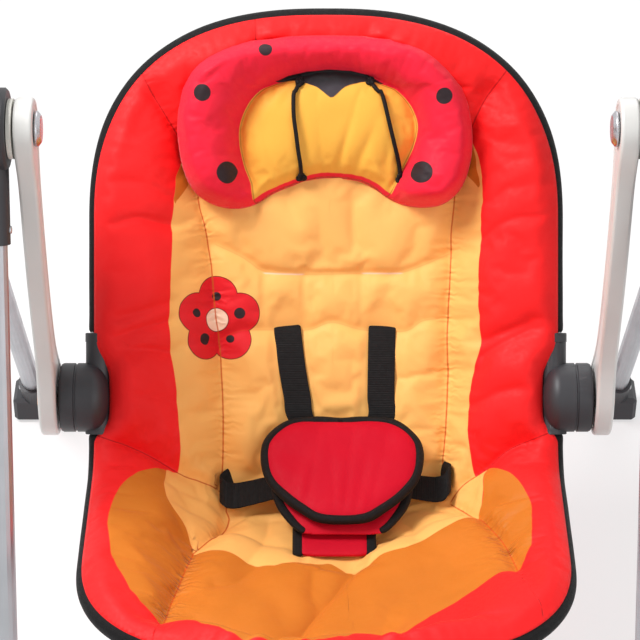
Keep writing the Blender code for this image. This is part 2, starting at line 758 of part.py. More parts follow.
def pod_half(name, x_open, x_face, body, side):
    """One half of a pod, an open shell with a rounded rim and a flat face, thickened inwards."""
    way = 1 if x_face > x_open else -1
    turn = 3
    rings = [(x_open, 0.0)]
    for step in range(turn + 1):
        angle = math.pi / 2 * step / turn
        shrink = POD_ROUNDING * (1 - math.cos(angle))
        rings.append((x_face - way * POD_ROUNDING * (1 - math.sin(angle)), shrink))
    bm = bmesh.new()
    first = bmesh.ops.create_circle(bm, segments=POD_SIDES, radius=1)["verts"]
    for i, vertex in enumerate(first):
        y, z = pod_point(2 * math.pi * i / POD_SIDES)
        vertex.co = (x_open, y, AXLE_HEIGHT + z)
    edges = list(bm.edges)
    for x, shrink in rings[1:]:
        made = bmesh.ops.extrude_edge_only(bm, edges=edges)["geom"]
        edges = [item for item in made if isinstance(item, bmesh.types.BMEdge)]
        for vertex in (item for item in made if isinstance(item, bmesh.types.BMVert)):
            y, z = vertex.co.y, vertex.co.z - AXLE_HEIGHT
            angle = math.atan2(z / POD_HALF_HEIGHT, y / POD_HALF_DEPTH)
            steps = round(pod_parameter(angle) / (2 * math.pi / POD_SIDES))
            y, z = pod_point(2 * math.pi * steps / POD_SIDES, shrink)
            vertex.co = (x, y, AXLE_HEIGHT + z)
    bmesh.ops.contextual_create(bm, geom=edges)
    bmesh.ops.recalc_face_normals(bm, faces=bm.faces)
    face = max(bm.faces, key=lambda item: len(item.verts))
    if face.normal.x * way < 0:
        bmesh.ops.reverse_faces(bm, faces=bm.faces)
    obj = add(name, bm, body, "plastic_light", side)
    shell = obj.modifiers.new("Wall", "SOLIDIFY")
    shell.thickness = POD_WALL
    shell.offset = -1
    shell.use_even_offset = True
    return obj


def pod_parameter(angle):
    """The outline's own angle for a direction: the superellipse keeps the direction of its parameter."""
    return angle % (2 * math.pi)


def on_axle(x, y=0.0, z=0.0):
    """A point given across the swing and from the axle."""
    return Vector((x, y, AXLE_HEIGHT + z))


def polar(radius, degrees):
    return radius * math.cos(math.radians(degrees)), radius * math.sin(math.radians(degrees))


MOTOR_Y, MOTOR_Z = GEAR_DISTANCE * math.cos(GEAR_LINE), GEAR_DISTANCE * math.sin(GEAR_LINE)
EAR_OFFSETS = [
    (MOTOR_PLATE_HALF * math.cos(GEAR_LINE + way), MOTOR_PLATE_HALF * math.sin(GEAR_LINE + way))
    for way in (math.pi / 2, -math.pi / 2)
]


def pod_inner(name, body, side, drive):
    """The half towards the seat, with the boss that the front leg turns on and the rear leg's socket."""
    obj = pod_half(name, POD_SPLIT - SEATING_GAP, POD_IN, body, side)
    boss_end = FLANGE_OUT + SEATING_GAP
    tool(obj, rod(on_axle(boss_end), on_axle(POD_IN + POD_WALL / 2), BOSS_RADIUS, 28), "UNION", side)
    start, end = leg_point(REAR_LEG_X, 1, LEG_SOCKET_START), leg_point(REAR_LEG_X, 1, LEG_SOCKET_END)
    tool(obj, rod(start, end, LEG_RADIUS + SOCKET_WALL, 20), "UNION", side)
    seat = leg_point(REAR_LEG_X, 1, LEG_SOCKET_START + SOCKET_WALL)
    beyond = leg_point(REAR_LEG_X, 1, LEG_SOCKET_END + LEG_RADIUS)
    tool(obj, rod(seat, beyond, LEG_RADIUS + SHAFT_PLAY), "DIFFERENCE", side)
    if drive:
        for y, z in EAR_OFFSETS:
            foot_end = on_axle(POD_IN + POD_WALL / 2, MOTOR_Y + y, MOTOR_Z + z)
            top_end = on_axle(MOTOR_PLATE_IN - SEATING_GAP, MOTOR_Y + y, MOTOR_Z + z)
            tool(obj, rod(foot_end, top_end, POST_RADIUS, 10), "UNION", side)
    bore = BUSH_RADIUS + SEATING_GAP
    tool(obj, rod(on_axle(boss_end - POD_WALL), on_axle(POD_IN + 2 * POD_WALL), bore), "DIFFERENCE", side)


def pod_outer(name, body, side, drive):
    """The outer half. On the drive side it has holes for the buttons, the speaker and the batteries."""
    obj = pod_half(name, POD_SPLIT + SEATING_GAP, POD_OUT, body, side)
    if drive:
        for y, z in BOARD_POSTS:
            post = rod(on_axle(BOARD_OUT + SEATING_GAP, y, z), on_axle(POD_OUT - POD_WALL / 2, y, z), POST_RADIUS, 10)
            tool(obj, post, "UNION", side)
    holes = bmesh.new()
    inside, outside = POD_FACE_INSIDE - POD_WALL, POD_OUT + POD_WALL
    spots = [(FOLD_BUTTON_PLACE, FOLD_BUTTON_RADIUS)]
    if drive:
        spots += [(polar(BUTTON_CIRCLE, BUTTON_ANGLES[key]), BUTTON_RADIUS[key]) for key in BUTTON_ANGLES]
    for (y, z), radius in spots:
        put_rod(holes, on_axle(inside, y, z), on_axle(outside, y, z), radius + SHAFT_PLAY, 16)
    if drive:
        low_y, high_y, low_z, high_z = tray_room()
        put_box(holes, on_axle(inside, low_y, low_z), on_axle(outside, high_y, high_z))
        centre_y, centre_z = SPEAKER_CENTRE
        for i in range(GRILLE_SLOTS):
            z = centre_z + (i - (GRILLE_SLOTS - 1) / 2) * GRILLE_PITCH
            half = 0.8 * math.sqrt(SPEAKER_RADIUS**2 - (z - centre_z) ** 2)
            low = on_axle(inside, centre_y - half, z - GRILLE_SLOT / 2)
            put_box(holes, low, on_axle(outside, centre_y + half, z + GRILLE_SLOT / 2))
    tool(obj, holes, "DIFFERENCE", side)


def tray_room():
    """The space for the cells, as the lowest and highest y and z from the axle."""
    half = CELL_LENGTH + 2 * CONTACT_THICKNESS + 2 * SEATING_GAP
    depth = CELL_RADIUS + SEATING_GAP
    return -half, half, CELL_CENTRE_Z - depth, CELL_CENTRE_Z + depth


def knuckle(name, body, side):
    """The front leg's top: a disc that turns on the pod's boss, with a socket for the tube."""
    obj = add(name, rod(on_axle(KNUCKLE_IN), on_axle(KNUCKLE_OUT), KNUCKLE_RADIUS, 28), body, "plastic_charcoal", side)
    bevel(obj, 0.002, 1)
    neck_radius = (KNUCKLE_OUT - KNUCKLE_IN) / 2 - SEATING_GAP
    start = leg_point(FRONT_LEG_X, -1, KNUCKLE_RADIUS / 2)
    tool(obj, rod(start, leg_point(FRONT_LEG_X, -1, KNUCKLE_NECK), neck_radius, 20), "UNION", side)
    bore = BOSS_RADIUS + SHAFT_PLAY
    tool(obj, rod(on_axle(KNUCKLE_IN - 0.01), on_axle(KNUCKLE_OUT + 0.01), bore, 28), "DIFFERENCE", side)
    seat = leg_point(FRONT_LEG_X, -1, KNUCKLE_TUBE_START - SEATING_GAP)
    beyond = leg_point(FRONT_LEG_X, -1, KNUCKLE_NECK + LEG_RADIUS)
    tool(obj, rod(seat, beyond, LEG_RADIUS + SHAFT_PLAY), "DIFFERENCE", side)


def plunger(name, place, radius, body, side, colour):
    """A round button through the pod's outer face, held from behind by a flange."""
    y, z = place
    back = POD_FACE_INSIDE - SEATING_GAP
    crown = POD_OUT + BUTTON_PROUD
    profile = [
        (0, crown),
        (radius * 0.8, crown),
        (radius, crown - radius * 0.15),
        (radius, back),
        (radius + BUTTON_FLANGE, back),
        (radius + BUTTON_FLANGE, FLANGE_BACK),
        (0, FLANGE_BACK),
    ]
    turned(name, profile, (0, y, AXLE_HEIGHT + z), body, colour, side, 16)


def bush(name, body, side):
    """A bush in the pod's boss. Its flange, at the end towards the seat, holds the front leg's knuckle on."""
    bore, outer = AXLE_RADIUS + SHAFT_PLAY, BUSH_RADIUS
    profile = [
        (bore, POD_IN + POD_WALL),
        (outer, POD_IN + POD_WALL),
        (outer, FLANGE_OUT),
        (BUSH_FLANGE_RADIUS, FLANGE_OUT),
        (BUSH_FLANGE_RADIUS, BUSH_IN),
        (bore, BUSH_IN),
    ]
    turned(name, profile, on_axle(0), body, "nylon", side, 24)


# Gears


def involute(angle):
    return math.tan(angle) - angle


def tooth(teeth, centre_angle):
    """One tooth's outline as (y, z) from the gear's axis, from one root to the next."""
    pitch = GEAR_MODULE * teeth / 2
    base = pitch * math.cos(PRESSURE_ANGLE)
    root, tip = pitch - 1.25 * GEAR_MODULE, pitch + GEAR_MODULE
    at_pitch = math.pi / (2 * teeth) - GEAR_BACKLASH / (2 * pitch) + involute(PRESSURE_ANGLE)
    flank = []
    for radius in (root, pitch, tip):
        slope = math.acos(min(base / radius, 1.0))
        flank.append((radius, at_pitch - involute(slope)))
    points = [(radius, centre_angle - half) for radius, half in flank]
    points += [(radius, centre_angle + half) for radius, half in reversed(flank)]
    return [(radius * math.cos(angle), radius * math.sin(angle)) for radius, angle in points]


def pinion_outline():
    points = []
    gap_faces_sector = GEAR_LINE + math.pi + math.pi / PINION_TEETH
    for i in range(PINION_TEETH):
        points += tooth(PINION_TEETH, gap_faces_sector + 2 * math.pi * i / PINION_TEETH)
    return [(MOTOR_Y + y, AXLE_HEIGHT + MOTOR_Z + z) for y, z in points]


def sector_outline():
    points = []
    for i in range(-SECTOR_REACH, SECTOR_REACH + 1):
        points += tooth(SECTOR_TEETH, GEAR_LINE + 2 * math.pi * i / SECTOR_TEETH)
    edge = 2 * math.pi * (SECTOR_REACH + 0.5) / SECTOR_TEETH
    for angle in spread(GEAR_LINE + edge + 0.6, GEAR_LINE - edge - 0.6 + 2 * math.pi, 14):
        points.append((SECTOR_HUB * math.cos(angle), SECTOR_HUB * math.sin(angle)))
    return [(y, AXLE_HEIGHT + z) for y, z in points]


def drive(stand, swing):
    """The sector gear on the axle, the pinion that drives it, and the geared motor."""
    sector = flat_plate("sector_gear", sector_outline(), GEAR_IN, GEAR_IN + GEAR_WIDTH, swing, "nylon")
    bore = AXLE_RADIUS + SEATING_GAP
    tool(sector, rod(on_axle(GEAR_IN - 0.005), on_axle(GEAR_IN + GEAR_WIDTH + 0.005), bore))
    spin = pivot("pinion_axis", on_axle(0, MOTOR_Y, MOTOR_Z), stand)
    pinion = flat_plate("drive_pinion", pinion_outline(), GEAR_IN, GEAR_IN + GEAR_WIDTH, spin, "nylon")
    start = on_axle(GEAR_IN + GEAR_WIDTH / 2, MOTOR_Y, MOTOR_Z)
    end = on_axle(MOTOR_PLATE_IN + MOTOR_PLATE + GEARBOX_LENGTH / 2, MOTOR_Y, MOTOR_Z)
    tool(pinion, rod(start, end, PINION_SHAFT, 16), "UNION")
    plate_out = MOTOR_PLATE_IN + MOTOR_PLATE
    along = Vector((0, math.cos(GEAR_LINE + math.pi / 2), math.sin(GEAR_LINE + math.pi / 2)))
    centre = on_axle((MOTOR_PLATE_IN + plate_out) / 2, MOTOR_Y, MOTOR_Z)
    plate = bmesh.new()
    size = Matrix.Diagonal((MOTOR_PLATE, 2 * (MOTOR_PLATE_HALF + MOTOR_PLATE_EAR / 2), 2 * GEARBOX_RADIUS, 1))
    turn = Matrix.Rotation(math.atan2(along.z, along.y), 4, "X")
    bmesh.ops.create_cube(plate, size=1, matrix=Matrix.Translation(centre) @ turn @ size)
    motor = add("gear_motor", plate, stand, "steel")
    at = {x: on_axle(x, MOTOR_Y, MOTOR_Z) for x in (plate_out - MOTOR_PLATE / 2, plate_out + GEARBOX_LENGTH)}
    low, mid = at.values()
    tool(motor, rod(low, mid, GEARBOX_RADIUS, 28), "UNION")
    can_end = on_axle(plate_out + GEARBOX_LENGTH + MOTOR_LENGTH, MOTOR_Y, MOTOR_Z)
    tool(motor, rod(mid - Vector((0.001, 0, 0)), can_end, MOTOR_RADIUS, 28), "UNION")
    bore_end = end + Vector((SEATING_GAP, 0, 0))
    tool(motor, rod(on_axle(MOTOR_PLATE_IN - 0.002, MOTOR_Y, MOTOR_Z), bore_end, PINION_SHAFT + SHAFT_PLAY, 16))


def batteries(stand):
    """Four cells in a tray behind a sliding door, with their contact plates."""
    low_y, high_y, low_z, high_z = tray_room()
    tray_in = POD_IN + POD_WALL + SEATING_GAP + TRAY_WALL
    tray_out = POD_FACE_INSIDE - SEATING_GAP
    bm = box(on_axle(tray_in, low_y, low_z), on_axle(tray_out, high_y, high_z))
    open_face = max(bm.faces, key=lambda face: face.calc_center_median().x)
    bmesh.ops.delete(bm, geom=[open_face], context="FACES_ONLY")
    tray = add("battery_tray", bm, stand, "plastic_charcoal")
    wall = tray.modifiers.new("Wall", "SOLIDIFY")
    wall.thickness = TRAY_WALL
    wall.offset = 1
    wall.use_even_offset = True
    rows = [tray_out - CELL_RADIUS - 2 * SEATING_GAP]
    rows.append(rows[0] - 2 * CELL_RADIUS - SEATING_GAP)
    for row, x in enumerate(rows):
        for way in (-1, 1):
            can = on_axle(x, way * (CELL_LENGTH - CELL_NUB), CELL_CENTRE_Z)
            bm = rod(on_axle(x, way * SEATING_GAP, CELL_CENTRE_Z), can, CELL_RADIUS, 20)
            cell = add(f"battery_cell_{2 * row + (3 - way) // 2}", bm, stand, "cell_jacket")
            start = on_axle(x, way * (CELL_LENGTH - 2 * CELL_NUB), CELL_CENTRE_Z)
            tool(cell, rod(start, on_axle(x, way * CELL_LENGTH, CELL_CENTRE_Z), CELL_RADIUS * 0.3, 10), "UNION")
    half = CELL_RADIUS * 0.6
    low = on_axle(rows[1] - half, low_y + SEATING_GAP, CELL_CENTRE_Z - half)
    high = on_axle(rows[0] + half, low_y + SEATING_GAP + CONTACT_THICKNESS, CELL_CENTRE_Z + half)
    add("contact_bridge", box(low, high), stand, "steel")
    slide = pivot("battery_door_slide", on_axle(POD_OUT, 0, CELL_CENTRE_Z), stand)
    face = POD_OUT + SEATING_GAP
    low = on_axle(face, low_y - DOOR_LAP, low_z - DOOR_LAP)
    high = on_axle(face + DOOR_THICKNESS, high_y + DOOR_LAP, high_z + DOOR_LAP)
    door = add("battery_door", box(low, high), slide, "plastic_light")
    bevel(door, 0.0012)


def controls(stand):
    """The circuit board with its switches, the speaker, and the buttons in the pods' outer faces."""
    low = on_axle(BOARD_OUT - BOARD_THICKNESS, *BOARD_LOW)
    board = add("circuit_board", box(low, on_axle(BOARD_OUT, *BOARD_HIGH)), stand, "board_green")
    switches = bmesh.new()
    for key, angle in BUTTON_ANGLES.items():
        y, z = polar(BUTTON_CIRCLE, angle)
        low = on_axle(BOARD_OUT - BOARD_THICKNESS / 2, y - SWITCH_HALF, z - SWITCH_HALF)
        put_box(switches, low, on_axle(SWITCH_TOP, y + SWITCH_HALF, z + SWITCH_HALF))
        slide = pivot(f"{key}_slide", on_axle(POD_OUT, y, z), stand)
        colour = "plastic_orange" if key == "power_button" else "plastic_charcoal"
        plunger(key, (y, z), BUTTON_RADIUS[key], slide, 1, colour)
    tool(board, switches, "UNION")
    y, z = SPEAKER_CENTRE
    front = POD_FACE_INSIDE - SEATING_GAP
    profile = [
        (0, front),
        (SPEAKER_RADIUS, front),
        (SPEAKER_RADIUS, front - 0.004),
        (SPEAKER_RADIUS * 0.5, front - SPEAKER_DEPTH),
        (0, front - SPEAKER_DEPTH),
    ]
    turned("speaker", profile, (0, y, AXLE_HEIGHT + z), stand, "plastic_charcoal")
    for side, word in ((1, "right"), (-1, "left")):
        slide = pivot(f"fold_button_{word}_slide", on_axle(side * POD_OUT, *FOLD_BUTTON_PLACE), stand)
        plunger(f"fold_button_{word}", FOLD_BUTTON_PLACE, FOLD_BUTTON_RADIUS, slide, side, "plastic_orange")


def pods(stand):
    for side, word in ((1, "right"), (-1, "left")):
        pod_inner(f"{word}_pod_inner", stand, side, side > 0)
        pod_outer(f"{word}_pod_outer", stand, side, side > 0)
        bush(f"axle_bush_{word}", stand, side)


# Arms


def arm_outline():
    """A swing arm from the side: a boss at each end, a slim waist and a slight bow."""
    points = []
    for angle in spread(0, math.pi, 9):
        points.append((ARM_TOP_RADIUS * math.cos(angle), ARM_TOP_RADIUS * math.sin(angle)))
    drops = spread(0, ARM_LENGTH, 12)[1:-1]
    points += [(arm_bow(drop) - arm_half_width(drop), -drop) for drop in drops]
    for angle in spread(math.pi, 2 * math.pi, 9):
        y, z = ARM_BOTTOM_RADIUS * math.cos(angle), ARM_BOTTOM_RADIUS * math.sin(angle)
        points.append((y, z - ARM_LENGTH))
    points += [(arm_bow(drop) + arm_half_width(drop), -drop) for drop in reversed(drops)]
    return [(y, AXLE_HEIGHT + z) for y, z in points]


def arm_bow(drop):
    return -ARM_BOW * math.sin(math.pi * drop / ARM_LENGTH)


def arm_half_width(drop):
    top = (ARM_TOP_RADIUS - ARM_WAIST) * math.exp(-((drop / (1.2 * ARM_TOP_RADIUS)) ** 2))
    bottom = (ARM_BOTTOM_RADIUS - ARM_WAIST) * math.exp(-(((ARM_LENGTH - drop) / (1.2 * ARM_BOTTOM_RADIUS)) ** 2))
    return ARM_WAIST + top + bottom


def arms(swing):
    low = Vector((0, 0, RECLINE_HEIGHT))
    for side, word in ((1, "right"), (-1, "left")):
        arm = flat_plate(f"{word}_arm", arm_outline(), side * ARM_IN, side * ARM_OUT, swing, "plastic_light")
        bevel(arm, ARM_ROUNDING, 1)

        def across(x, at, side=side):
            return Vector((side * x, at.y, at.z))

        pin_in = SEAT_HUB_OUTER - RECLINE_PIN_DEPTH
        tool(arm, rod(across(pin_in, low), across(ARM_IN + 0.003, low), RECLINE_PIN_RADIUS), "UNION")
        holes = rod(across(ARM_IN - 0.01, on_axle(0)), across(ARM_OUT + 0.01, on_axle(0)), AXLE_RADIUS + SEATING_GAP)
        recess = ARM_OUT - RECLINE_RECESS
        put_rod(holes, across(recess, low), across(ARM_OUT + 0.01, low), RECLINE_BUTTON_RADIUS + SHAFT_PLAY)
        tool(arm, holes)
        head = ARM_IN - SEATING_GAP
        profile = [
            (0, POD_IN + AXLE_INSIDE_POD),
            (AXLE_RADIUS - 0.001, POD_IN + AXLE_INSIDE_POD),
            (AXLE_RADIUS, POD_IN + AXLE_INSIDE_POD - 0.001),
            (AXLE_RADIUS, head),
            (AXLE_HEAD_RADIUS, head),
            (AXLE_HEAD_RADIUS, head - AXLE_HEAD * 0.4),
            (AXLE_HEAD_RADIUS * 0.75, head - AXLE_HEAD),
            (0, head - AXLE_HEAD),
        ]
        turned(f"swing_axle_{word}", profile, on_axle(0), swing, "steel", side, 24)
        slide = pivot(f"recline_button_{word}_slide", across(ARM_OUT, low), swing)
        crown = ARM_OUT + RECLINE_BUTTON_PROUD
        foot_end = recess + RECLINE_BUTTON_TRAVEL + SEATING_GAP
        radius = RECLINE_BUTTON_RADIUS
        profile = [(0, crown), (radius * 0.8, crown), (radius, crown - 0.0012), (radius, foot_end), (0, foot_end)]
        turned(f"recline_button_{word}", profile, low, slide, "plastic_orange", side, 24)


# Seat frame


def seat_hub(name, seat, side):
    """The round fitting that joins the two seat tubes at the waist and takes the recline pin."""
    radius, face = SEAT_HUB_RADIUS, SEAT_HUB_OUTER
    profile = [(0, face), (radius - 0.003, face), (radius, face - 0.003), (radius, SEAT_HUB_INNER + SEAT_HUB_DOME)]
    for step in (1, 2, 3):
        angle = math.pi / 2 * step / 4
        profile.append((radius * math.cos(angle) ** 0.8, SEAT_HUB_INNER + SEAT_HUB_DOME * (1 - math.sin(angle))))
    profile.append((0, SEAT_HUB_INNER))
    obj = turned(name, profile, RECLINE_PIVOT, seat, "plastic_charcoal", side, 28)
    up, down = heading(BACK_ANGLE), -heading(BACK_ANGLE)
    tube_at = RECLINE_PIVOT + Vector((SEAT_TUBE_X, 0, 0))
    sleeve = SEAT_TUBE_RADIUS + SEAT_SOCKET_WALL
    tool(obj, rod(tube_at, tube_at + up * SEAT_SOCKET_LENGTH, sleeve, 16), "UNION", side)
    tool(obj, rod(tube_at, tube_at + down * LOWER_SOCKET_LENGTH, sleeve, 16), "UNION", side)
    bores = bmesh.new()
    bore = SEAT_TUBE_RADIUS + SHAFT_PLAY
    start = SEAT_HUB_RADIUS * 0.5
    for way, length in ((up, SEAT_SOCKET_LENGTH), (down, LOWER_SOCKET_LENGTH)):
        put_rod(bores, tube_at + way * (start - SEATING_GAP), tube_at + way * (length + SEAT_TUBE_RADIUS), bore, 16)
    pin_in = Vector((SEAT_HUB_OUTER - RECLINE_PIN_DEPTH - SEATING_GAP, 0, 0))
    pin_out = Vector((SEAT_HUB_OUTER + 0.005, 0, 0))
    put_rod(bores, RECLINE_PIVOT + pin_in, RECLINE_PIVOT + pin_out, RECLINE_PIN_RADIUS + SHAFT_PLAY, 24)
    tool(obj, bores, "DIFFERENCE", side)


def frame_path(from_along, to_end, count):
    """The tube's centre line from the right hub round one end of the seat to the left hub."""
    way = 1 if to_end > from_along else -1
    round_length = HEAD_ROUND if way > 0 else FRONT_ROUND
    turn_starts = to_end - way * round_length
    straight = [(SEAT_HALF_WIDTH, s) for s in spread(from_along, turn_starts, 10 if way < 0 else 3)]
    power = 2 / OUTLINE_POWER
    turned_part = []
    for angle in spread(0, math.pi / 2, count)[1:]:
        x = SEAT_HALF_WIDTH * math.cos(angle) ** power if angle < math.pi / 2 - 1e-6 else 0.0
        turned_part.append((x, turn_starts + way * round_length * math.sin(angle) ** power))
    half = straight + turned_part
    whole = half + [(-x, s) for x, s in reversed(half[:-1])]
    return [Vector((x, *rail_point(s).yz)) for x, s in whole]


def seat_frame(seat):
    start = SEAT_HUB_RADIUS * 0.5
    upper = frame_path(HUB_ALONG + start, HEAD_ALONG, 12)
    tube("upper_seat_tube", upper, SEAT_TUBE_RADIUS, seat, "tube_grey", resolution=3)
    scale = (HUB_ALONG - FRONT_ALONG) / (RAIL_HUB - RAIL_END)
    lower = frame_path(HUB_ALONG - start * scale, FRONT_ALONG, 11)
    tube("lower_seat_tube", lower, SEAT_TUBE_RADIUS, seat, "tube_grey", resolution=3)
    for side, word in ((1, "right"), (-1, "left")):
        seat_hub(f"seat_hub_{word}", seat, side)


# Soft goods


def pad_rows():
    """Distances along the pad for its rows of points: close together at the ends and at the tufted lines."""
    low, high = FRONT_ALONG + PAD_INSET, HEAD_ALONG - PAD_INSET
    rows = [(low + high) / 2 - (high - low) / 2 * math.cos(math.pi * i / PAD_ROWS) for i in range(PAD_ROWS + 1)]
    rows[0] += 0.0012
    rows[-1] -= 0.0012
    for line in (UPPER_SLOTS, LOWER_SLOTS):
        rows = [s for s in rows if abs(s - line) > 1.5 * TUFT_WIDTH]
        rows += [line - 1.2 * TUFT_WIDTH, line, line + 1.2 * TUFT_WIDTH]
    return sorted(rows)


def pad_columns(s):
    """Places across the pad, with a column on the sewn channel and one on the bolster's crest."""
    channel = channel_x(s)
    full = SEAT_HALF_WIDTH - PAD_INSET
    right = [0.0, 0.034, 0.066, channel - CHANNEL_WIDTH, channel, channel + CHANNEL_WIDTH]
    right += [0.138, BOLSTER_X, 0.182, full]
    right = [x * pad_half_width(s) / full for x in right]
    return [-x for x in reversed(right[1:])] + right


def seat_pad(seat):
    rows = pad_rows()
    columns = [pad_columns(s) for s in rows]
    across = list(range(len(columns[0])))
    along = list(range(len(rows)))

    def place(i, j, face):
        x, s = columns[j][i], rows[j]
        out = abs(x) / pad_half_width(s)
        end = abs(2 * j / (len(rows) - 1) - 1)
        thin = math.sqrt(max(1 - out**PAD_EDGE_POWER, 0)) * math.sqrt(1 - end**12)
        rise = PAD_DEPTH / 2 * thin
        if face > 0:
            rise += relief(x, s) * thin
        return mid_surface(x, s) + surface_normal(x, s) * rise * face

    add("seat_pad", sewn_form(across, along, place), seat, "fabric_red")


def pillow_height(x, out):
    """The pillow's front above the pad: a full roll round a thinner middle."""
    crown = PILLOW_HEIGHT * (1 - out**3.2) ** 0.55
    middle = PILLOW_HOLLOW * math.exp(-((x / PILLOW_HOLLOW_WIDTH) ** 4)) * (1 - out**2)
    return crown - middle


PILLOW_RADIUS = polar_outline(PILLOW_HALF_OUTLINE)
BOLSTER_CLEARANCE = 0.006


def pillow(seat):
    steps = spread(-1, 1, 15)

    def place(u, v, face):
        x, y, out = in_outline(PILLOW_RADIUS, u, v)
        s = PILLOW_ALONG + y
        if face > 0:
            return on_seat(x, s, BOLSTER_CLEARANCE + pillow_height(x, out))
        seam = BOLSTER_CLEARANCE if face == 0 else 0.0
        under = max(relief(x, s), 0) + SEATING_GAP * 2 + 0.5 * seam
        return on_seat(x, s, under if face < 0 else max(under, BOLSTER_CLEARANCE))

    form = sewn_form(steps, steps, place)
    form.normal_update()
    surface = BVHTree.FromBMesh(form)
    add("headrest_pillow", form, seat, "fabric_crimson")
    return surface


def cords(seat, pillow_surface):
    """The two short cords that lie over the pillow's middle."""
    for word, top, end in (("left", CORD_TOPS[0], CORD_ENDS[0]), ("right", CORD_TOPS[1], CORD_ENDS[1])):
        points = []
        for t in spread(0, 1, 17):
            x = top + (end - top) * t - 0.008 * math.sin(math.pi * t) * (1 if word == "left" else -0.4)
            s = PILLOW_ALONG + CORD_TOP_RISE - (CORD_TOP_RISE + CORD_END_DROP) * t
            out = surface_normal(x, s)
            above = on_seat(x, s, 2 * PILLOW_HEIGHT)
            resting, slope = pillow_surface.ray_cast(above, -out)[:2]
            lift = CORD_GAP + CORD_LIFT * math.sin(math.pi * t) ** 0.5
            points.append(resting + out * (CORD_RADIUS + lift) / max(slope.dot(out), 0.6))
        tube(f"{word}_cord", points, CORD_RADIUS, seat, "cord_black", resolution=2)


def harness_point(x, t, height):
    """A point of the harness pad's own plane: across, up the slope, and out of it."""
    return HARNESS_CENTRE + Vector((x, 0, 0)) + HARNESS_UP * t + HARNESS_OUT * height


HARNESS_TOP = on_seat(0, HARNESS_TOP_ALONG, HARNESS_TOP_HEIGHT)
HARNESS_BOTTOM = on_seat(0, HARNESS_BOTTOM_ALONG, HARNESS_BOTTOM_HEIGHT)
HARNESS_UP = (HARNESS_TOP - HARNESS_BOTTOM).normalized()
HARNESS_OUT = Vector((1, 0, 0)).cross(HARNESS_UP).normalized()
HARNESS_CENTRE = (HARNESS_TOP + HARNESS_BOTTOM) / 2 + Vector((HARNESS_CENTRE_X, 0, 0))
LINER_TOP = -HARNESS_PAD_DEPTH / 2 - SEATING_GAP
BUCKLE_FRONT = LINER_TOP - LINER_DEPTH - SEATING_GAP
BUCKLE_MIDDLE = BUCKLE_FRONT - BUCKLE_DEPTH / 2 - BUCKLE_BUTTON_TRAVEL


def harness_pads(seat):
    layers = (
        ("harness_pad", HARNESS_HALF_OUTLINE, 0.0, HARNESS_PAD_DEPTH, 11),
        ("harness_pad_liner", LINER_HALF_OUTLINE, LINER_TOP - LINER_DEPTH / 2, LINER_DEPTH, 9),
    )
    for name, outline, level, depth, count in layers:
        centre_y = (outline[0][1] + outline[-1][1]) / 2
        radius_at = polar_outline([(x, y - centre_y) for x, y in outline])

        def place(u, v, face, radius_at=radius_at, centre_y=centre_y, level=level, depth=depth):
            x, y, out = in_outline(radius_at, u, v)
            rise = depth / 2 * (1 - out**4) ** 0.5
            return harness_point(x, y + centre_y, level + face * rise)

        steps = spread(-1, 1, count)
        add(name, sewn_form(steps, steps, place), seat, "fabric_crimson")


def buckle(seat):
    """The buckle under the pads, with its push button."""
    half_w, half_l, half_d = BUCKLE_WIDTH / 2, BUCKLE_LENGTH / 2, BUCKLE_DEPTH / 2
    frame = Matrix((Vector((1, 0, 0)), HARNESS_UP, HARNESS_OUT)).transposed().to_4x4()
    place = Matrix.Translation(harness_point(0, 0, BUCKLE_MIDDLE)) @ frame
    body = box((-half_w, -half_l, -half_d), (half_w, half_l, half_d))
    bmesh.ops.transform(body, matrix=place, verts=body.verts)
    obj = add("buckle", body, seat, "plastic_charcoal")
    bevel(obj, 0.003)
    face = BUCKLE_MIDDLE + half_d
    deep = face - BUCKLE_BUTTON_TRAVEL - 0.004
    hole = rod(harness_point(0, 0, deep), harness_point(0, 0, face + 0.005), BUCKLE_BUTTON_RADIUS + SHAFT_PLAY, 24)
    tool(obj, hole)
    slide = pivot("buckle_button_slide", harness_point(0, 0, face), seat)
    low = harness_point(0, 0, deep + BUCKLE_BUTTON_TRAVEL + SEATING_GAP)
    high = harness_point(0, 0, face + BUCKLE_BUTTON_TRAVEL)
    add("buckle_button", rod(low, high, BUCKLE_BUTTON_RADIUS, 24), slide, "plastic_orange")


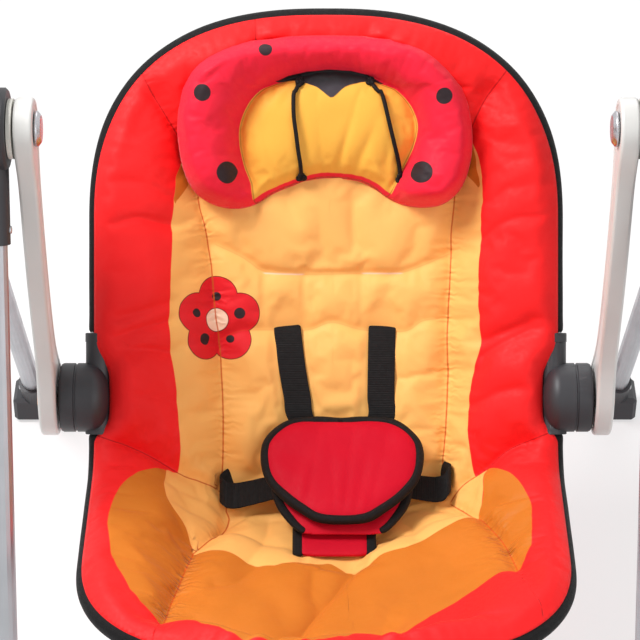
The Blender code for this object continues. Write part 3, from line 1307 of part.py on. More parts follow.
def straps(seat):
    """The shoulder straps down the back, the waist straps from the sewn channels, and the flap between the legs."""
    strap_level = BUCKLE_MIDDLE
    across = Vector((1, 0, 0))
    for side, word in ((1, "right"), (-1, "left")):
        slot_x = HARNESS_SHIFT + side * SLOT_SPACING / 2
        end_x = HARNESS_CENTRE_X + side * (BUCKLE_WIDTH + WEBBING_WIDTH) / 2
        inner_x = HARNESS_CENTRE_X + side * BUCKLE_WIDTH / 4
        points = [on_seat(slot_x, LOWER_SLOTS, 0.0015)]
        for s, height, share in ((0.150, 0.0045, 0.1), (0.125, 0.0045, 0.35), (0.100, 0.0035, 0.7), (0.078, 0.003, 1)):
            points.append(on_seat(slot_x + (inner_x - slot_x) * share * STRAP_LEAN[side], s, height))
        for reach in (0.009, 2 * SEATING_GAP):
            points.append(harness_point(inner_x - HARNESS_CENTRE_X, BUCKLE_LENGTH / 2 + reach, strap_level))
        add(f"shoulder_strap_{word}", ribbon(points, [across] * len(points), WEBBING_WIDTH, WEBBING_THICKNESS), seat, "webbing_black")
        waist_x = WAIST_STARTS[side]
        points = [on_seat(waist_x, WAIST_SLOT_ALONG, 0.0048)]
        near = side * (BUCKLE_WIDTH / 2 + 0.020)
        points.append(on_seat(waist_x - side * 0.014, WAIST_SLOT_ALONG, 0.007))
        points.append(harness_point(near, 0, strap_level))
        points.append(harness_point(side * (BUCKLE_WIDTH / 2 + 2 * SEATING_GAP), 0, strap_level))
        start_way = on_seat(waist_x, WAIST_SLOT_ALONG + 0.01, 0) - on_seat(waist_x, WAIST_SLOT_ALONG - 0.01, 0)
        ways = [start_way, start_way.lerp(HARNESS_UP * 0.02, 0.3), HARNESS_UP, HARNESS_UP]
        add(f"waist_strap_{word}", ribbon(points, ways, WEBBING_WIDTH, WEBBING_THICKNESS), seat, "webbing_black")
    flap_top = harness_point(-0.007, -BUCKLE_LENGTH / 2 - SEATING_GAP - 0.001, strap_level)
    flap_x, rest = HARNESS_CENTRE_X - 0.007, CROTCH_FLAP_DEPTH / 2
    lowest = CROTCH_SLOT_ALONG
    points = [flap_top] + [on_seat(flap_x, lowest + up, rest + 0.003) for up in (0.036, 0.018, 0.0)]
    flap = ribbon(points, [across] * 4, CROTCH_FLAP_WIDTH, CROTCH_FLAP_DEPTH)
    add("crotch_flap", flap, seat, "fabric_crimson")


def build():
    stand = pivot("stand", (0, 0, 0))
    leg_set("rear", REAR_LEG_X, 1, LEG_SOCKET_START + SOCKET_WALL + SEATING_GAP, stand)
    pods(stand)
    controls(stand)
    batteries(stand)
    front = pivot("front_legs", on_axle(0), stand)
    leg_set("front", FRONT_LEG_X, -1, KNUCKLE_TUBE_START, front)
    for side, word in ((1, "right"), (-1, "left")):
        knuckle(f"knuckle_{word}", front, side)
    swing = pivot("swing", on_axle(0), stand)
    drive(stand, swing)
    arms(swing)
    seat = pivot("seat", RECLINE_PIVOT, swing)
    seat_frame(seat)
    seat_pad(seat)
    cords(seat, pillow(seat))
    harness_pads(seat)
    buckle(seat)
    straps(seat)


build()
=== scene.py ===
"""The looks of the baby swing: padded cloth, webbing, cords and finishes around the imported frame. Metres."""

import json
import math

import bmesh
import bpy
import numpy as np
from mathutils import Matrix, Vector
from mathutils.bvhtree import BVHTree


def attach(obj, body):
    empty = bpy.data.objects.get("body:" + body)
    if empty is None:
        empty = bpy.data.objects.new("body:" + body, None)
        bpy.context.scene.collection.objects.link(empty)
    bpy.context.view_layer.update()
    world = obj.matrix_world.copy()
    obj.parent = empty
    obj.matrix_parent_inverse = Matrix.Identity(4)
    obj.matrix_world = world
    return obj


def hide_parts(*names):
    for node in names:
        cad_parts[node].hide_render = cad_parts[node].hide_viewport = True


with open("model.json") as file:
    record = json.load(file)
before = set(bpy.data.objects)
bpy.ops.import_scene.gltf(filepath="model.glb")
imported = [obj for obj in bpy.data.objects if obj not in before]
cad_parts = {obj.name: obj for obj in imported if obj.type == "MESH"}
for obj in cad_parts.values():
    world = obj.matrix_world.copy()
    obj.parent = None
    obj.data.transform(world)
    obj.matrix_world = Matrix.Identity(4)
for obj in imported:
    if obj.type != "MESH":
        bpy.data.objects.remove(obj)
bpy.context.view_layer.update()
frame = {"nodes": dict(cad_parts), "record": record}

# Sizes shared with the part
AXLE_HEIGHT = 0.600
BACK_ANGLE = math.radians(50)
SEAT_ANGLE = math.radians(-15)
CREASE_DROP, HUB_SAG, SEAT_BEND = 0.106, 0.035, 0.0705
RAIL_DROP, RAIL_BEND, FRONT_REACH, FRONT_DROP = 0.064, 0.050, 0.303, 0.024
HALF_WIDTH = 0.204
HEAD_LENGTH, SEAT_LENGTH = 0.341, 0.275
HEAD_ROUND, FRONT_ROUND, OUTLINE_POWER = 0.182, 0.150, 2.5
PAD_DEPTH, PAD_SAG_POWER, PAD_END_TAPER = 0.026, 2.3, 0.060
CORD_RADIUS = 0.0019
WEBBING_WIDTH = 0.025
SLEEVE_RADIUS = 0.0093
COVER_STEP = 0.0034
EDGE_HEIGHT, BACK_EDGE_HEIGHT = 0.0098, 0.0088
POD_HALF_DEPTH, POD_HALF_HEIGHT, POD_POWER, POD_OUT, POD_IN = 0.084, 0.086, 2.4, 0.3491, 0.2891
FOOT_SPREAD, LEG_DROP, REAR_X, FRONT_X = 0.320, 0.583, 0.3101, 0.2746
ARM_LENGTH, ARM_TOP, ARM_BOTTOM, ARM_WAIST, ARM_BOW = 0.296, 0.026, 0.034, 0.0135, 0.012
ARM_IN, ARM_OUT = 0.2395, 0.2555
HUB_IN, HUB_OUT, HUB_RADIUS, HUB_DOME = 0.194, 0.238, 0.031, 0.015
BUCKLE_WIDTH, BUCKLE_LENGTH, BUCKLE_DEEP = 0.054, 0.052, 0.013
PAD_DEEP, LINER_DEEP, REST_GAP = 0.014, 0.008, 0.0003
HARNESS_X, STRAP_SHIFT, STRAP_SPACING, LOWER_SLOTS = 0.0145, 0.0083, 0.088, 0.166

SIDES = ((1, "right"), (-1, "left"))
ACROSS = np.array((1.0, 0, 0))


# The seat's surface, as in the part: X across, S along it from the crease towards the head


def unit(vectors):
    return vectors / np.linalg.norm(vectors, axis=-1, keepdims=True)


def heading(angle):
    return np.stack((np.cos(angle), np.sin(angle)), -1)


def facing(angle):
    return np.stack((-np.sin(angle), np.cos(angle)), -1)


class BentLine:
    """Two straight lines joined by an arc in the (y, z) plane, by the distance from the arc's middle."""

    def __init__(self, corner, low, high, radius):
        self.low, self.high, self.radius = low, high, radius
        self.half = radius * (high - low) / 2
        self.tangent = radius * math.tan((high - low) / 2)
        self.start = corner - self.tangent * heading(low)

    def angle(self, s):
        return self.low + np.clip((s + self.half) / (2 * self.half), 0, 1) * (self.high - self.low)

    def point(self, s):
        s = np.asarray(s, float)
        on_arc = self.start + self.radius * facing(self.low) - self.radius * facing(self.angle(s))
        after = np.maximum(s - self.half, 0)[..., None] * heading(self.high)
        before = np.minimum(s + self.half, 0)[..., None] * heading(self.low)
        return on_arc + after + before


PIVOT = np.array((0.0, AXLE_HEIGHT - ARM_LENGTH))
UP_BACK = heading(BACK_ANGLE)
CREASE_CORNER = PIVOT - HUB_SAG * facing(BACK_ANGLE) - CREASE_DROP * heading(BACK_ANGLE)
MIDDLE = BentLine(CREASE_CORNER, SEAT_ANGLE, BACK_ANGLE, SEAT_BEND)
HUB_S = MIDDLE.half + CREASE_DROP - MIDDLE.tangent
HEAD_S, FRONT_S = HUB_S + HEAD_LENGTH, -SEAT_LENGTH
RAIL_CORNER = PIVOT - RAIL_DROP * heading(BACK_ANGLE)
RAIL_RUN = RAIL_CORNER - (PIVOT - np.array((FRONT_REACH, FRONT_DROP)))
RAIL = BentLine(RAIL_CORNER, math.atan2(RAIL_RUN[1], RAIL_RUN[0]), BACK_ANGLE, RAIL_BEND)
RAIL_HUB = RAIL.half + RAIL_DROP - RAIL.tangent
RAIL_END = -(RAIL.half + math.hypot(*RAIL_RUN) - RAIL.tangent)
PILLOW_S = HEAD_S - 0.0901
SEAT_ENDS = ((HEAD_S, HEAD_ROUND, 1), (FRONT_S, FRONT_ROUND, -1))


def rail_run(s):
    """The length along the tubes beside the place s on the pad."""
    s = np.asarray(s, float)
    share = (HUB_S - s) / (HUB_S - FRONT_S)
    return np.where(s >= HUB_S, RAIL_HUB + s - HUB_S, RAIL_HUB - share * (RAIL_HUB - RAIL_END))


def rail_point(s):
    return RAIL.point(rail_run(s))


def middle_point(s):
    """The pad's middle line, which lies below the tubes at the hubs and meets them at the head."""
    share = np.maximum(s - HUB_S, 0) / (HEAD_S - HUB_S)
    return MIDDLE.point(s) + (HUB_SAG * share**2)[..., None] * facing(BACK_ANGLE)


def bell(value, width):
    return np.exp(-((value / width) ** 2))


def ease(value):
    """From 0 to 1 with a soft start and end."""
    value = np.clip(value, 0, 1)
    return value * value * (3 - 2 * value)


def half_width(s, inset=0.0):
    """Half the seat's width, drawn in by inset, with its rounded ends."""
    s = np.asarray(s, float)
    half = np.full(s.shape, HALF_WIDTH - inset)
    for end, length, way in SEAT_ENDS:
        share = np.clip((length - way * (end - s)) / (length - inset), 0, 1)
        half = np.minimum(half, (HALF_WIDTH - inset) * (1 - share**OUTLINE_POWER) ** (1 / OUTLINE_POWER))
    return half


def mid_surface(x, s):
    """The middle of the pad's thickness, which sags between the tubes."""
    x, s = np.broadcast_arrays(np.asarray(x, float), np.asarray(s, float))
    across = np.minimum(np.abs(x) / HALF_WIDTH, 1)
    sag = middle_point(s) - facing(MIDDLE.angle(s)) * PAD_DEPTH / 2 - rail_point(s)
    ends = ease((s - FRONT_S) / PAD_END_TAPER) * ease((HEAD_S - s) / PAD_END_TAPER)
    point = rail_point(s) + sag * (ends * (1 - across**PAD_SAG_POWER))[..., None]
    return np.concatenate((x[..., None], point), -1)


def surface_normal(x, s):
    d = 0.002
    across = mid_surface(x + d, s) - mid_surface(x - d, s)
    return unit(np.cross(across, mid_surface(x, s + d) - mid_surface(x, s - d)))


def on_seat(x, s, height):
    """Points at a height over the pad's front surface."""
    return mid_surface(x, s) + surface_normal(x, s) * (PAD_DEPTH / 2 + np.asarray(height, float))[..., None]


# Shapes


def mm(*pairs):
    return np.array(pairs, float) / 1000


def smooth_line(points, closed=False, spacing=0.004):
    """A smooth curve through the points, at about even distances."""
    points = np.asarray(points, float)
    count = len(points)
    found = []
    for i in range(count if closed else count - 1):
        pick = [(i + k) % count if closed else min(max(i + k, 0), count - 1) for k in (-1, 0, 1, 2)]
        a, b, c, d = points[pick]
        steps = max(int(np.linalg.norm(c - b) / spacing), 1)
        for t in np.arange(steps)[:, None] / steps:
            cubic = 2 * b + (c - a) * t + (2 * a - 5 * b + 4 * c - d) * t**2 + (3 * b - a - 3 * c + d) * t**3
            found.append(cubic / 2)
    if not closed:
        found.append(points[-1])
    return np.array(found)


def nearest(points, line, closed=False):
    """For each point: its distance from the line, the foot, the length along the line, and the side it is on."""
    ends = np.roll(line, -1, 0) if closed else line[1:]
    starts = line if closed else line[:-1]
    best = np.full(len(points), np.inf)
    foot, along, side = np.zeros((len(points), 2)), np.zeros(len(points)), np.ones(len(points))
    travelled = 0.0
    for start, end in zip(starts, ends):
        run = end - start
        length = np.hypot(*run)
        t = np.clip((points - start) @ run / max(length**2, 1e-12), 0, 1)
        spot = start + t[:, None] * run
        offset = points - spot
        gap = np.hypot(offset[:, 0], offset[:, 1])
        closer = gap < best
        best[closer], foot[closer], along[closer] = gap[closer], spot[closer], travelled + t[closer] * length
        side[closer] = np.sign(run[0] * offset[closer, 1] - run[1] * offset[closer, 0])
        travelled += length
    return best, foot, along, side


def inside(points, outline):
    """Whether each flat point lies inside the outline."""
    x, y = points[:, 0], points[:, 1]
    found = np.zeros(len(points), bool)
    for (ax, ay), (bx, by) in zip(outline, np.roll(outline, -1, 0)):
        crosses = (ay > y) != (by > y)
        if ay != by:
            found ^= crosses & (x < (bx - ax) * (y - ay) / (by - ay) + ax)
    return found


def depth_in(points, outline):
    """How far inside the outline each point lies, below 0 outside it."""
    return np.where(inside(points, outline), 1, -1) * nearest(points, outline, True)[0]


def run_along(line):
    """The length along a line up to each of its points."""
    return np.concatenate(((0,), np.cumsum(np.linalg.norm(np.diff(line, axis=0), axis=1))))


def on_paper(flat):
    return np.c_[flat, np.zeros(len(flat))]


def add_object(name, data):
    obj = bpy.data.objects.new(name, data)
    bpy.context.scene.collection.objects.link(obj)
    return obj


def tree_of(obj):
    return BVHTree.FromPolygons([v.co[:] for v in obj.data.vertices], [p.vertices[:] for p in obj.data.polygons])


def edit_mesh(mesh, change):
    bm = bmesh.new()
    bm.from_mesh(mesh)
    change(bm)
    bm.to_mesh(mesh)
    bm.free()


def face_outwards(bm):
    bmesh.ops.recalc_face_normals(bm, faces=bm.faces)


def as_mesh(name, points, faces, values=None):
    """A smooth mesh that carries the values at its points."""
    mesh = bpy.data.meshes.new(name)
    mesh.from_pydata(np.asarray(points).tolist(), [], faces)
    mesh.validate()
    for key, value in (values or {}).items():
        value = np.asarray(value, np.float32)
        kind, field = ("FLOAT", "value") if value.ndim == 1 else ("FLOAT_VECTOR", "vector")
        mesh.attributes.new(key, kind, "POINT").data.foreach_set(field, value.ravel())
    mesh.shade_smooth()
    return add_object(name, mesh)


def finish(obj, body, paint, stands_for=(), subdivide=0):
    """Paints a piece, hangs it on the body that it rides, hides the CAD nodes that it replaces, and smooths it by
    subdivision if asked.
    """
    if paint.name not in obj.data.materials:
        obj.data.materials.append(paint)
    if subdivide:
        modifier = obj.modifiers.new("Smooth", "SUBSURF")
        modifier.levels = modifier.render_levels = subdivide
        modifier.boundary_smooth = "PRESERVE_CORNERS"
    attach(obj, body)
    if stands_for:
        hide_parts(*stands_for)
    return obj


def four_of(grid):
    """What lies at the four corners of each cell of a grid."""
    return grid[:-1, :-1], grid[1:, :-1], grid[1:, 1:], grid[:-1, 1:]


def edges_of(faces):
    return np.concatenate([faces[:, (i, (i + 1) % 4)] for i in range(4)])


def among(points, edges):
    """The middle of each point's neighbours."""
    total = np.zeros_like(points)
    np.add.at(total, edges[:, 0], points[edges[:, 1]])
    np.add.at(total, edges[:, 1], points[edges[:, 0]])
    return total / np.bincount(edges.ravel(), minlength=len(points))[:, None]


def cut_cloth(outline, step):
    """A net over a flat outline, evened out along its border: points, faces, and which lie on the border."""
    least_gap, free_reach, rounds = 0.35, 6, 40
    low, high = outline.min(0) - step / 2, outline.max(0) + step
    u, v = np.arange(low[0], high[0], step), np.arange(low[1], high[1], step)
    points = np.stack(np.meshgrid(u, v, indexing="ij"), -1).reshape(-1, 2)
    gap, _, along, _ = nearest(points, outline, True)
    keep = (inside(points, outline) & (gap > least_gap * step)).reshape(len(u), len(v))
    cell = np.logical_and.reduce(four_of(keep))
    block = np.logical_and.reduce(four_of(cell))
    cell = np.zeros_like(cell)
    for i, j in ((0, 0), (0, 1), (1, 0), (1, 1)):
        cell[i : i + block.shape[0], j : j + block.shape[1]] |= block
    index = np.arange(len(points)).reshape(len(u), len(v))
    faces = np.stack(four_of(index), -1)[cell]
    # Only the points in use are kept, and the border is followed round as one loop
    used, faces = np.unique(faces, return_inverse=True)
    faces = faces.reshape(-1, 4)
    flat, gap, along = points[used], gap[used], along[used]
    edges = edges_of(faces)
    pairs = set(map(tuple, edges.tolist()))
    follow = {a: b for a, b in pairs if (b, a) not in pairs}
    loop = [next(iter(sorted(follow)))]
    while follow[loop[-1]] != loop[0]:
        loop.append(follow[loop[-1]])
    # The loop's points go to even places along the outline
    closed = np.concatenate((outline, outline[:1]))
    run = run_along(closed)
    turn = (np.diff(along[loop + loop[:1]]) + run[-1] / 2) % run[-1] - run[-1] / 2
    even = turn.sum() * np.arange(len(loop)) / len(loop)
    drift = along[loop[0]] + np.concatenate(((0,), np.cumsum(turn)[:-1])) - even
    for _ in range(rounds):
        drift = (np.roll(drift, 1) + 2 * drift + np.roll(drift, -1)) / 4
    spot = (drift + even) % run[-1]
    flat[loop] = np.stack([np.interp(spot, run, closed[:, k]) for k in (0, 1)], -1)
    border = np.zeros(len(flat), bool)
    border[loop] = True
    free = (gap < free_reach * step) & ~border
    for _ in range(rounds):
        flat[free] = among(flat, edges)[free]
    return flat, faces, border


def even_rim(points, faces, depth, step):
    """Smooths the steps that the net's diagonal rows make beside the border."""
    reach, strength, rounds = 2.2 * step, 0.6, 8
    edges = np.unique(np.sort(edges_of(faces), axis=1), axis=0)
    share = np.where(depth > 0, np.clip(2.0 - depth / reach, 0, 1), 0)[:, None] * strength
    for _ in range(rounds):
        points = points + share * (among(points, edges) - points)
    return points


def padded_form(name, outline, step, front, back, values, behind=(), held=None, **settling):
    """A closed cushion over a flat outline. Front and back place flat points in space, from the depth inside.
    Held tells how firmly each point is sewn down while the cloth settles, and behind what the back carries."""
    flat, faces, border = cut_cloth(outline, step)
    depth = np.where(border, 0, nearest(flat, outline, True)[0])
    top, low = even_rim(front(flat, depth), faces, depth, step), even_rim(back(flat, depth), faces, depth, step)
    lower = np.where(border, np.arange(len(flat)), len(flat) + np.cumsum(~border) - 1)
    points = np.concatenate((top, low[~border]))
    both = np.concatenate((faces, lower[faces][:, ::-1]))
    carried = {}
    for key, value in values(flat, depth).items():
        hidden = np.full_like(value, behind[key]) if key in behind else value
        carried[key] = np.concatenate((value, hidden[~border]))
    obj = as_mesh(name, points, both.tolist(), carried)
    on_rim = np.concatenate((border, np.zeros((~border).sum(), bool)))
    crease = obj.data.attributes.new("crease_edge", "FLOAT", "EDGE")
    crease.data.foreach_set("value", np.float32([on_rim[list(edge.vertices)].all() for edge in obj.data.edges]))
    if held:
        settle(obj, np.concatenate((np.where(border, 1, held(flat, depth)), np.ones((~border).sum()))), **settling)
    return obj


def read_rows(items, key):
    found = np.empty(3 * len(items), np.float32)
    items.foreach_get(key, found)
    return found.reshape(-1, 3)


def settle(obj, held, growth, most):
    """Lets loose cloth swell and wrinkle between the places where it is sewn down, as the filling pushes it.
    Growth is the share by which the cloth is too large, and most is how far a point may move."""
    frames, pressure, tension, bending, sideways, finest = 14, 4.0, 20.0, 0.1, 0.35, 20
    held = np.clip(held, 0, 1)
    mesh = obj.data
    group = obj.vertex_groups.new(name="sewn")
    levels = np.round(held * finest).astype(int)
    for level in range(1, finest + 1):
        group.add(np.flatnonzero(levels == level).tolist(), level / finest, "REPLACE")
    before = read_rows(mesh.vertices, "co")
    cloth = obj.modifiers.new("Cloth", "CLOTH")
    rule = cloth.settings
    rule.quality, rule.mass, rule.air_damping = 6, 0.15, 2.0
    rule.tension_stiffness = rule.compression_stiffness = tension
    rule.shear_stiffness, rule.bending_stiffness = tension / 2, bending
    rule.tension_damping = rule.compression_damping = 10
    rule.vertex_group_mass, rule.shrink_min = "sewn", -growth
    rule.use_pressure, rule.uniform_pressure_force = True, pressure
    rule.effector_weights.gravity = 0
    cloth.collision_settings.use_collision = False
    cloth.point_cache.frame_start, cloth.point_cache.frame_end = 1, frames
    scene = bpy.context.scene
    for at in range(1, frames + 1):
        scene.frame_set(at)
    seen = obj.evaluated_get(bpy.context.evaluated_depsgraph_get())
    move = read_rows(seen.data.vertices, "co") - before
    obj.modifiers.remove(cloth)
    obj.vertex_groups.remove(group)
    scene.frame_set(1)
    normals = read_rows(mesh.vertex_normals, "vector")
    outward = (move * normals).sum(1, keepdims=True) * normals
    move = outward + sideways * (move - outward)
    size = np.maximum(np.linalg.norm(move, axis=1, keepdims=True), 1e-9)
    move *= most * np.tanh(size / most) / size * (1 - held)[:, None]
    mesh.vertices.foreach_set("co", (before + move).ravel())
    mesh.update()


def rings_mesh(name, rings, closed=False, values=None):
    """A skin over rings of points, each ring closed, with a cap at each end unless the last meets the first."""
    rings = np.asarray(rings)
    count, size = rings.shape[:2]
    index = np.arange(count * size).reshape(count, size)
    after = np.roll(index, -1, 0) if closed else index[1:]
    before = index if closed else index[:-1]
    faces = np.stack((before, after, np.roll(after, -1, 1), np.roll(before, -1, 1)), -1).reshape(-1, 4).tolist()
    if not closed:
        faces += [index[0].tolist(), index[-1][::-1].tolist()]
    obj = as_mesh(name, rings.reshape(-1, 3), faces, values)
    edit_mesh(obj.data, face_outwards)
    return obj


def carry(name, section, path, side, over, closed=False, swell=1.0):
    """A section, given as (side, over), carried along a path that gives both directions at each point."""
    rings = path[:, None] + np.reshape(swell, (-1, 1, 1)) * (
        section[None, :, 0, None] * side[:, None] + section[None, :, 1, None] * over[:, None]
    )
    lay = np.zeros((len(path), len(section), 3))
    lay[..., 0], lay[..., 1] = section[None, :, 0], run_along(path)[:, None]
    return rings_mesh(name, rings, closed, {"lay": lay.reshape(-1, 3)})


def sweep(name, path, section, up=(0, 0, 1.0), closed=False, swell=1.0):
    """A section carried along a path, with its over side towards up."""
    path = np.asarray(path, float)
    ahead = unit(np.roll(path, -1, 0) - np.roll(path, 1, 0) if closed else np.gradient(path, axis=0))
    side = unit(np.cross(ahead, np.asarray(up, float)))
    return carry(name, section, path, side, np.cross(side, ahead), closed, swell)


def circle(radius, count):
    return radius * heading(2 * np.pi * np.arange(count) / count)


def turned(name, profile, count, side=1, centre=(0.0, 0.0)):
    """A profile, given as (radius, x), turned about an axis along X through (y, z)."""
    y, z = circle(1, count).T
    rings = [np.stack((np.full(count, side * x), centre[0] + r * y, centre[1] + r * z), -1) for r, x in profile]
    return rings_mesh(name, rings)


def slab(width, thickness):
    """A flat section with rounded edges."""
    deep = thickness / 2
    half = width / 2 - deep
    across = np.linspace(-half, half, 6)[:, None] * (1, 0)
    right = deep * heading(np.linspace(-np.pi / 2, np.pi / 2, 5)[1:-1])
    left = deep * heading(np.linspace(np.pi / 2, 1.5 * np.pi, 5)[1:-1])
    return np.concatenate((across - (0, deep), right + (half, 0), across[::-1] + (0, deep), left - (half, 0)))


# Paint


def linear(*shown):
    """A colour for a shader from its red, green and blue as shown, 0 to 255."""
    found = (value / 255 for value in shown)
    return (*(value / 12.92 if value <= 0.04045 else ((value + 0.055) / 1.055) ** 2.4 for value in found), 1.0)


class Paint:
    """Builds one material, or the world, out of nodes."""

    def __init__(self, name, kept_in=bpy.data.materials, shader="Principled BSDF"):
        self.material = kept_in.new(name)
        self.material.use_nodes = True
        self.nodes, self.links = self.material.node_tree.nodes, self.material.node_tree.links
        self.shader = self.nodes[shader]

    def put(self, kind, settings=None, inputs=None):
        node = self.nodes.new(kind)
        for key, value in (settings or {}).items():
            setattr(node, key, value)
        for key, value in (inputs or {}).items():
            self.plug(node.inputs[key], value)
        return node

    def plug(self, socket, value):
        if isinstance(value, bpy.types.NodeSocket):
            self.links.new(value, socket)
        else:
            socket.default_value = value

    def math(self, operation, *values):
        return self.put("ShaderNodeMath", {"operation": operation}, dict(enumerate(values))).outputs[0]

    def times(self, first, second):
        return self.math("MULTIPLY", first, second)

    def waves(self, value, pitch):
        return self.math("SINE", self.times(value, 2 * math.pi / pitch))

    def value(self, name):
        return self.put("ShaderNodeAttribute", {"attribute_name": name}).outputs["Fac"]

    def vector(self, name):
        return self.put("ShaderNodeAttribute", {"attribute_name": name}).outputs["Vector"]

    def laid(self, name="lay"):
        """A piece's flat place (x, y), as it was cut."""
        return self.put("ShaderNodeSeparateXYZ", None, {0: self.vector(name)}).outputs[:2]

    def place(self):
        return self.put("ShaderNodeTexCoord").outputs["Object"]

    def noise(self, vector, size, detail=3.0, roughness=0.55):
        inputs = {"Vector": vector, "Scale": 1 / size, "Detail": detail, "Roughness": roughness}
        return self.put("ShaderNodeTexNoise", None, inputs).outputs["Fac"]

    def ramp(self, value, low, high, to_low=0.0, to_high=1.0):
        inputs = {0: value, 1: low, 2: high, 3: to_low, 4: to_high}
        return self.put("ShaderNodeMapRange", {"interpolation_type": "SMOOTHSTEP"}, inputs).outputs[0]

    def mix(self, share, first, second, blend="MIX"):
        settings = {"data_type": "RGBA", "blend_type": blend}
        return self.put("ShaderNodeMix", settings, {0: share, 6: first, 7: second}).outputs[2]

    def tone(self, colour, share, low, high):
        """The colour made a little darker or lighter by a share from 0 to 1."""
        strength = self.ramp(share, 0.25, 0.75, low, high)
        grey = self.put("ShaderNodeCombineColor", None, {0: strength, 1: strength, 2: strength}).outputs[0]
        return self.mix(1.0, colour, grey, "MULTIPLY")

    def spot(self, x, y, centre, radius, soft=0.0003):
        """1 inside a circle, 0 outside."""
        away = self.math("SQRT", self.math("ADD", self.square(x, centre[0]), self.square(y, centre[1])))
        return self.ramp(away, radius - soft, radius + soft, 1.0, 0.0)

    def square(self, value, centre):
        moved = self.math("SUBTRACT", value, centre)
        return self.times(moved, moved)

    def weave(self, x, y, pitch):
        """Threads over and under, from -1 to 1."""
        return self.times(self.waves(x, pitch), self.waves(y, pitch))

    def bump(self, height, distance, strength=1.0, under=None):
        inputs = {"Height": height, "Distance": distance, "Strength": strength}
        if under is not None:
            inputs["Normal"] = under
        return self.put("ShaderNodeBump", None, inputs).outputs[0]

    def surface(self, colour, roughness, normal=None, **settings):
        self.plug(self.shader.inputs["Base Color"], colour)
        self.plug(self.shader.inputs["Roughness"], roughness)
        if normal is not None:
            self.plug(self.shader.inputs["Normal"], normal)
        for key, value in settings.items():
            self.shader.inputs[key.replace("_", " ")].default_value = value
        return self.material


RED = linear(250, 31, 33)
CRIMSON = linear(243, 30, 58)
HARNESS_RED = linear(198, 11, 38)
LIGHT_ORANGE = linear(254, 188, 104)
DARK_ORANGE = linear(208, 118, 34)
YELLOW = linear(248, 182, 72)
NEAR_BLACK = linear(12, 9, 10)


def cloth_finish(paint, colour, x, y, extra=None, sheen=0.04, specular=0.22):
    """Woven cloth, with soft creases and any extra height in millimetres."""
    roughness, pitch = 0.58, 0.0007
    place = paint.place()
    colour = paint.tone(colour, paint.noise(place, 0.06, 2.0), 0.96, 1.03)
    threads = paint.bump(paint.weave(x, y, pitch), 0.00004, 0.5)
    creases = paint.bump(paint.noise(place, 0.014, 3.0), 0.0012, 0.25, threads)
    if extra is not None:
        creases = paint.bump(extra, 0.001, 1.0, creases)
    rough = paint.ramp(paint.noise(place, 0.004, 2.0), 0.3, 0.7, roughness - 0.06, roughness + 0.06)
    return paint.surface(
        colour, rough, creases, Sheen_Weight=sheen, Sheen_Roughness=0.45, Specular_IOR_Level=specular
    )


# The printed flower: its middle (x, s), five petals round it, and a dot of its own size on each
FLOWER, PETAL_REACH, PETAL_RADIUS, HEART_RADIUS, INK_WIDTH = (-0.101, 0.171), 0.0215, 0.0180, 0.0104, 0.0008
DOT_SIZES = (0.0040, 0.0050, 0.0036, 0.0054, 0.0042)
OUTLINE_INK, PETAL_INK, DOT_INK, HEART_INK = (
    linear(116, 22, 26), linear(226, 30, 40), linear(42, 30, 34), linear(250, 216, 188)
)
RED_THREAD, ORANGE_THREAD, SLOT_EDGE = linear(190, 8, 14), linear(206, 84, 14), linear(250, 212, 186)


def cover_paint():
    """The cover's coloured panels, printed flower, stitches, a faint painted shade line along the two quilting
    folds, and puckers beside the seams.
    """
    paint = Paint("cover_cloth")
    x, s = paint.laid()
    soft = 0.0004
    light = paint.ramp(paint.value("light"), -soft, soft)
    dark = paint.ramp(paint.value("dark"), -soft, soft)
    colour = paint.mix(light, RED, LIGHT_ORANGE)
    colour = paint.mix(dark, colour, DARK_ORANGE)
    petals = [FLOWER + PETAL_REACH * heading(math.pi / 2 - i * 2 * math.pi / 5) for i in range(5)]
    printed = [(petal, PETAL_RADIUS + INK_WIDTH, OUTLINE_INK) for petal in petals]
    printed += [(petal, PETAL_RADIUS, PETAL_INK) for petal in petals]
    printed += [(petal, size, DOT_INK) for petal, size in zip(petals, DOT_SIZES)]
    printed += [(FLOWER, HEART_RADIUS + INK_WIDTH, OUTLINE_INK), (FLOWER, HEART_RADIUS, HEART_INK)]
    front = paint.value("front")
    for place, radius, ink in printed:
        colour = paint.mix(paint.times(paint.spot(x, s, place, radius, 0.00025), front), colour, ink)
    thread = paint.mix(paint.math("MAXIMUM", light, dark), RED_THREAD, ORANGE_THREAD)
    # Thread along the seams and pale slot edges; along the two quilting folds the faint line in thread colour is
    # painted shade of the fold, not thread
    sewn = (("seam", 0.85, 0.0011, thread), ("quilt", 0.18, 0.0009, thread), ("slot", 0.7, 0.0012, SLOT_EDGE))
    for name, strength, width, ink in sewn:
        away = paint.math("ABSOLUTE", paint.value(name))
        line = paint.times(paint.ramp(away, width * 0.3, width, 1.0, 0.0), paint.value(name + "_sewn"))
        colour = paint.mix(paint.times(line, strength), colour, ink)
    wander = paint.times(paint.noise(paint.vector("lay"), 0.015, 2.0), 14.0)
    wave = paint.math("SINE", paint.math("ADD", paint.times(paint.value("along"), 2 * math.pi / 0.0068), wander))
    fade = paint.math("POWER", 2.718, paint.times(paint.math("ABSOLUTE", paint.value("seam")), -1 / 0.0075))
    patchy = paint.ramp(paint.noise(paint.vector("lay"), 0.022, 1.0), 0.35, 0.65, 0.15, 1.0)
    pucker = paint.times(paint.times(wave, fade), paint.times(paint.value("gather"), patchy))
    return cloth_finish(paint, colour, x, s, paint.times(pucker, 0.75))


def plain_cloth(name, colour, **settings):
    paint = Paint(name)
    x, y = paint.laid()
    return cloth_finish(paint, colour, x, y, **settings)


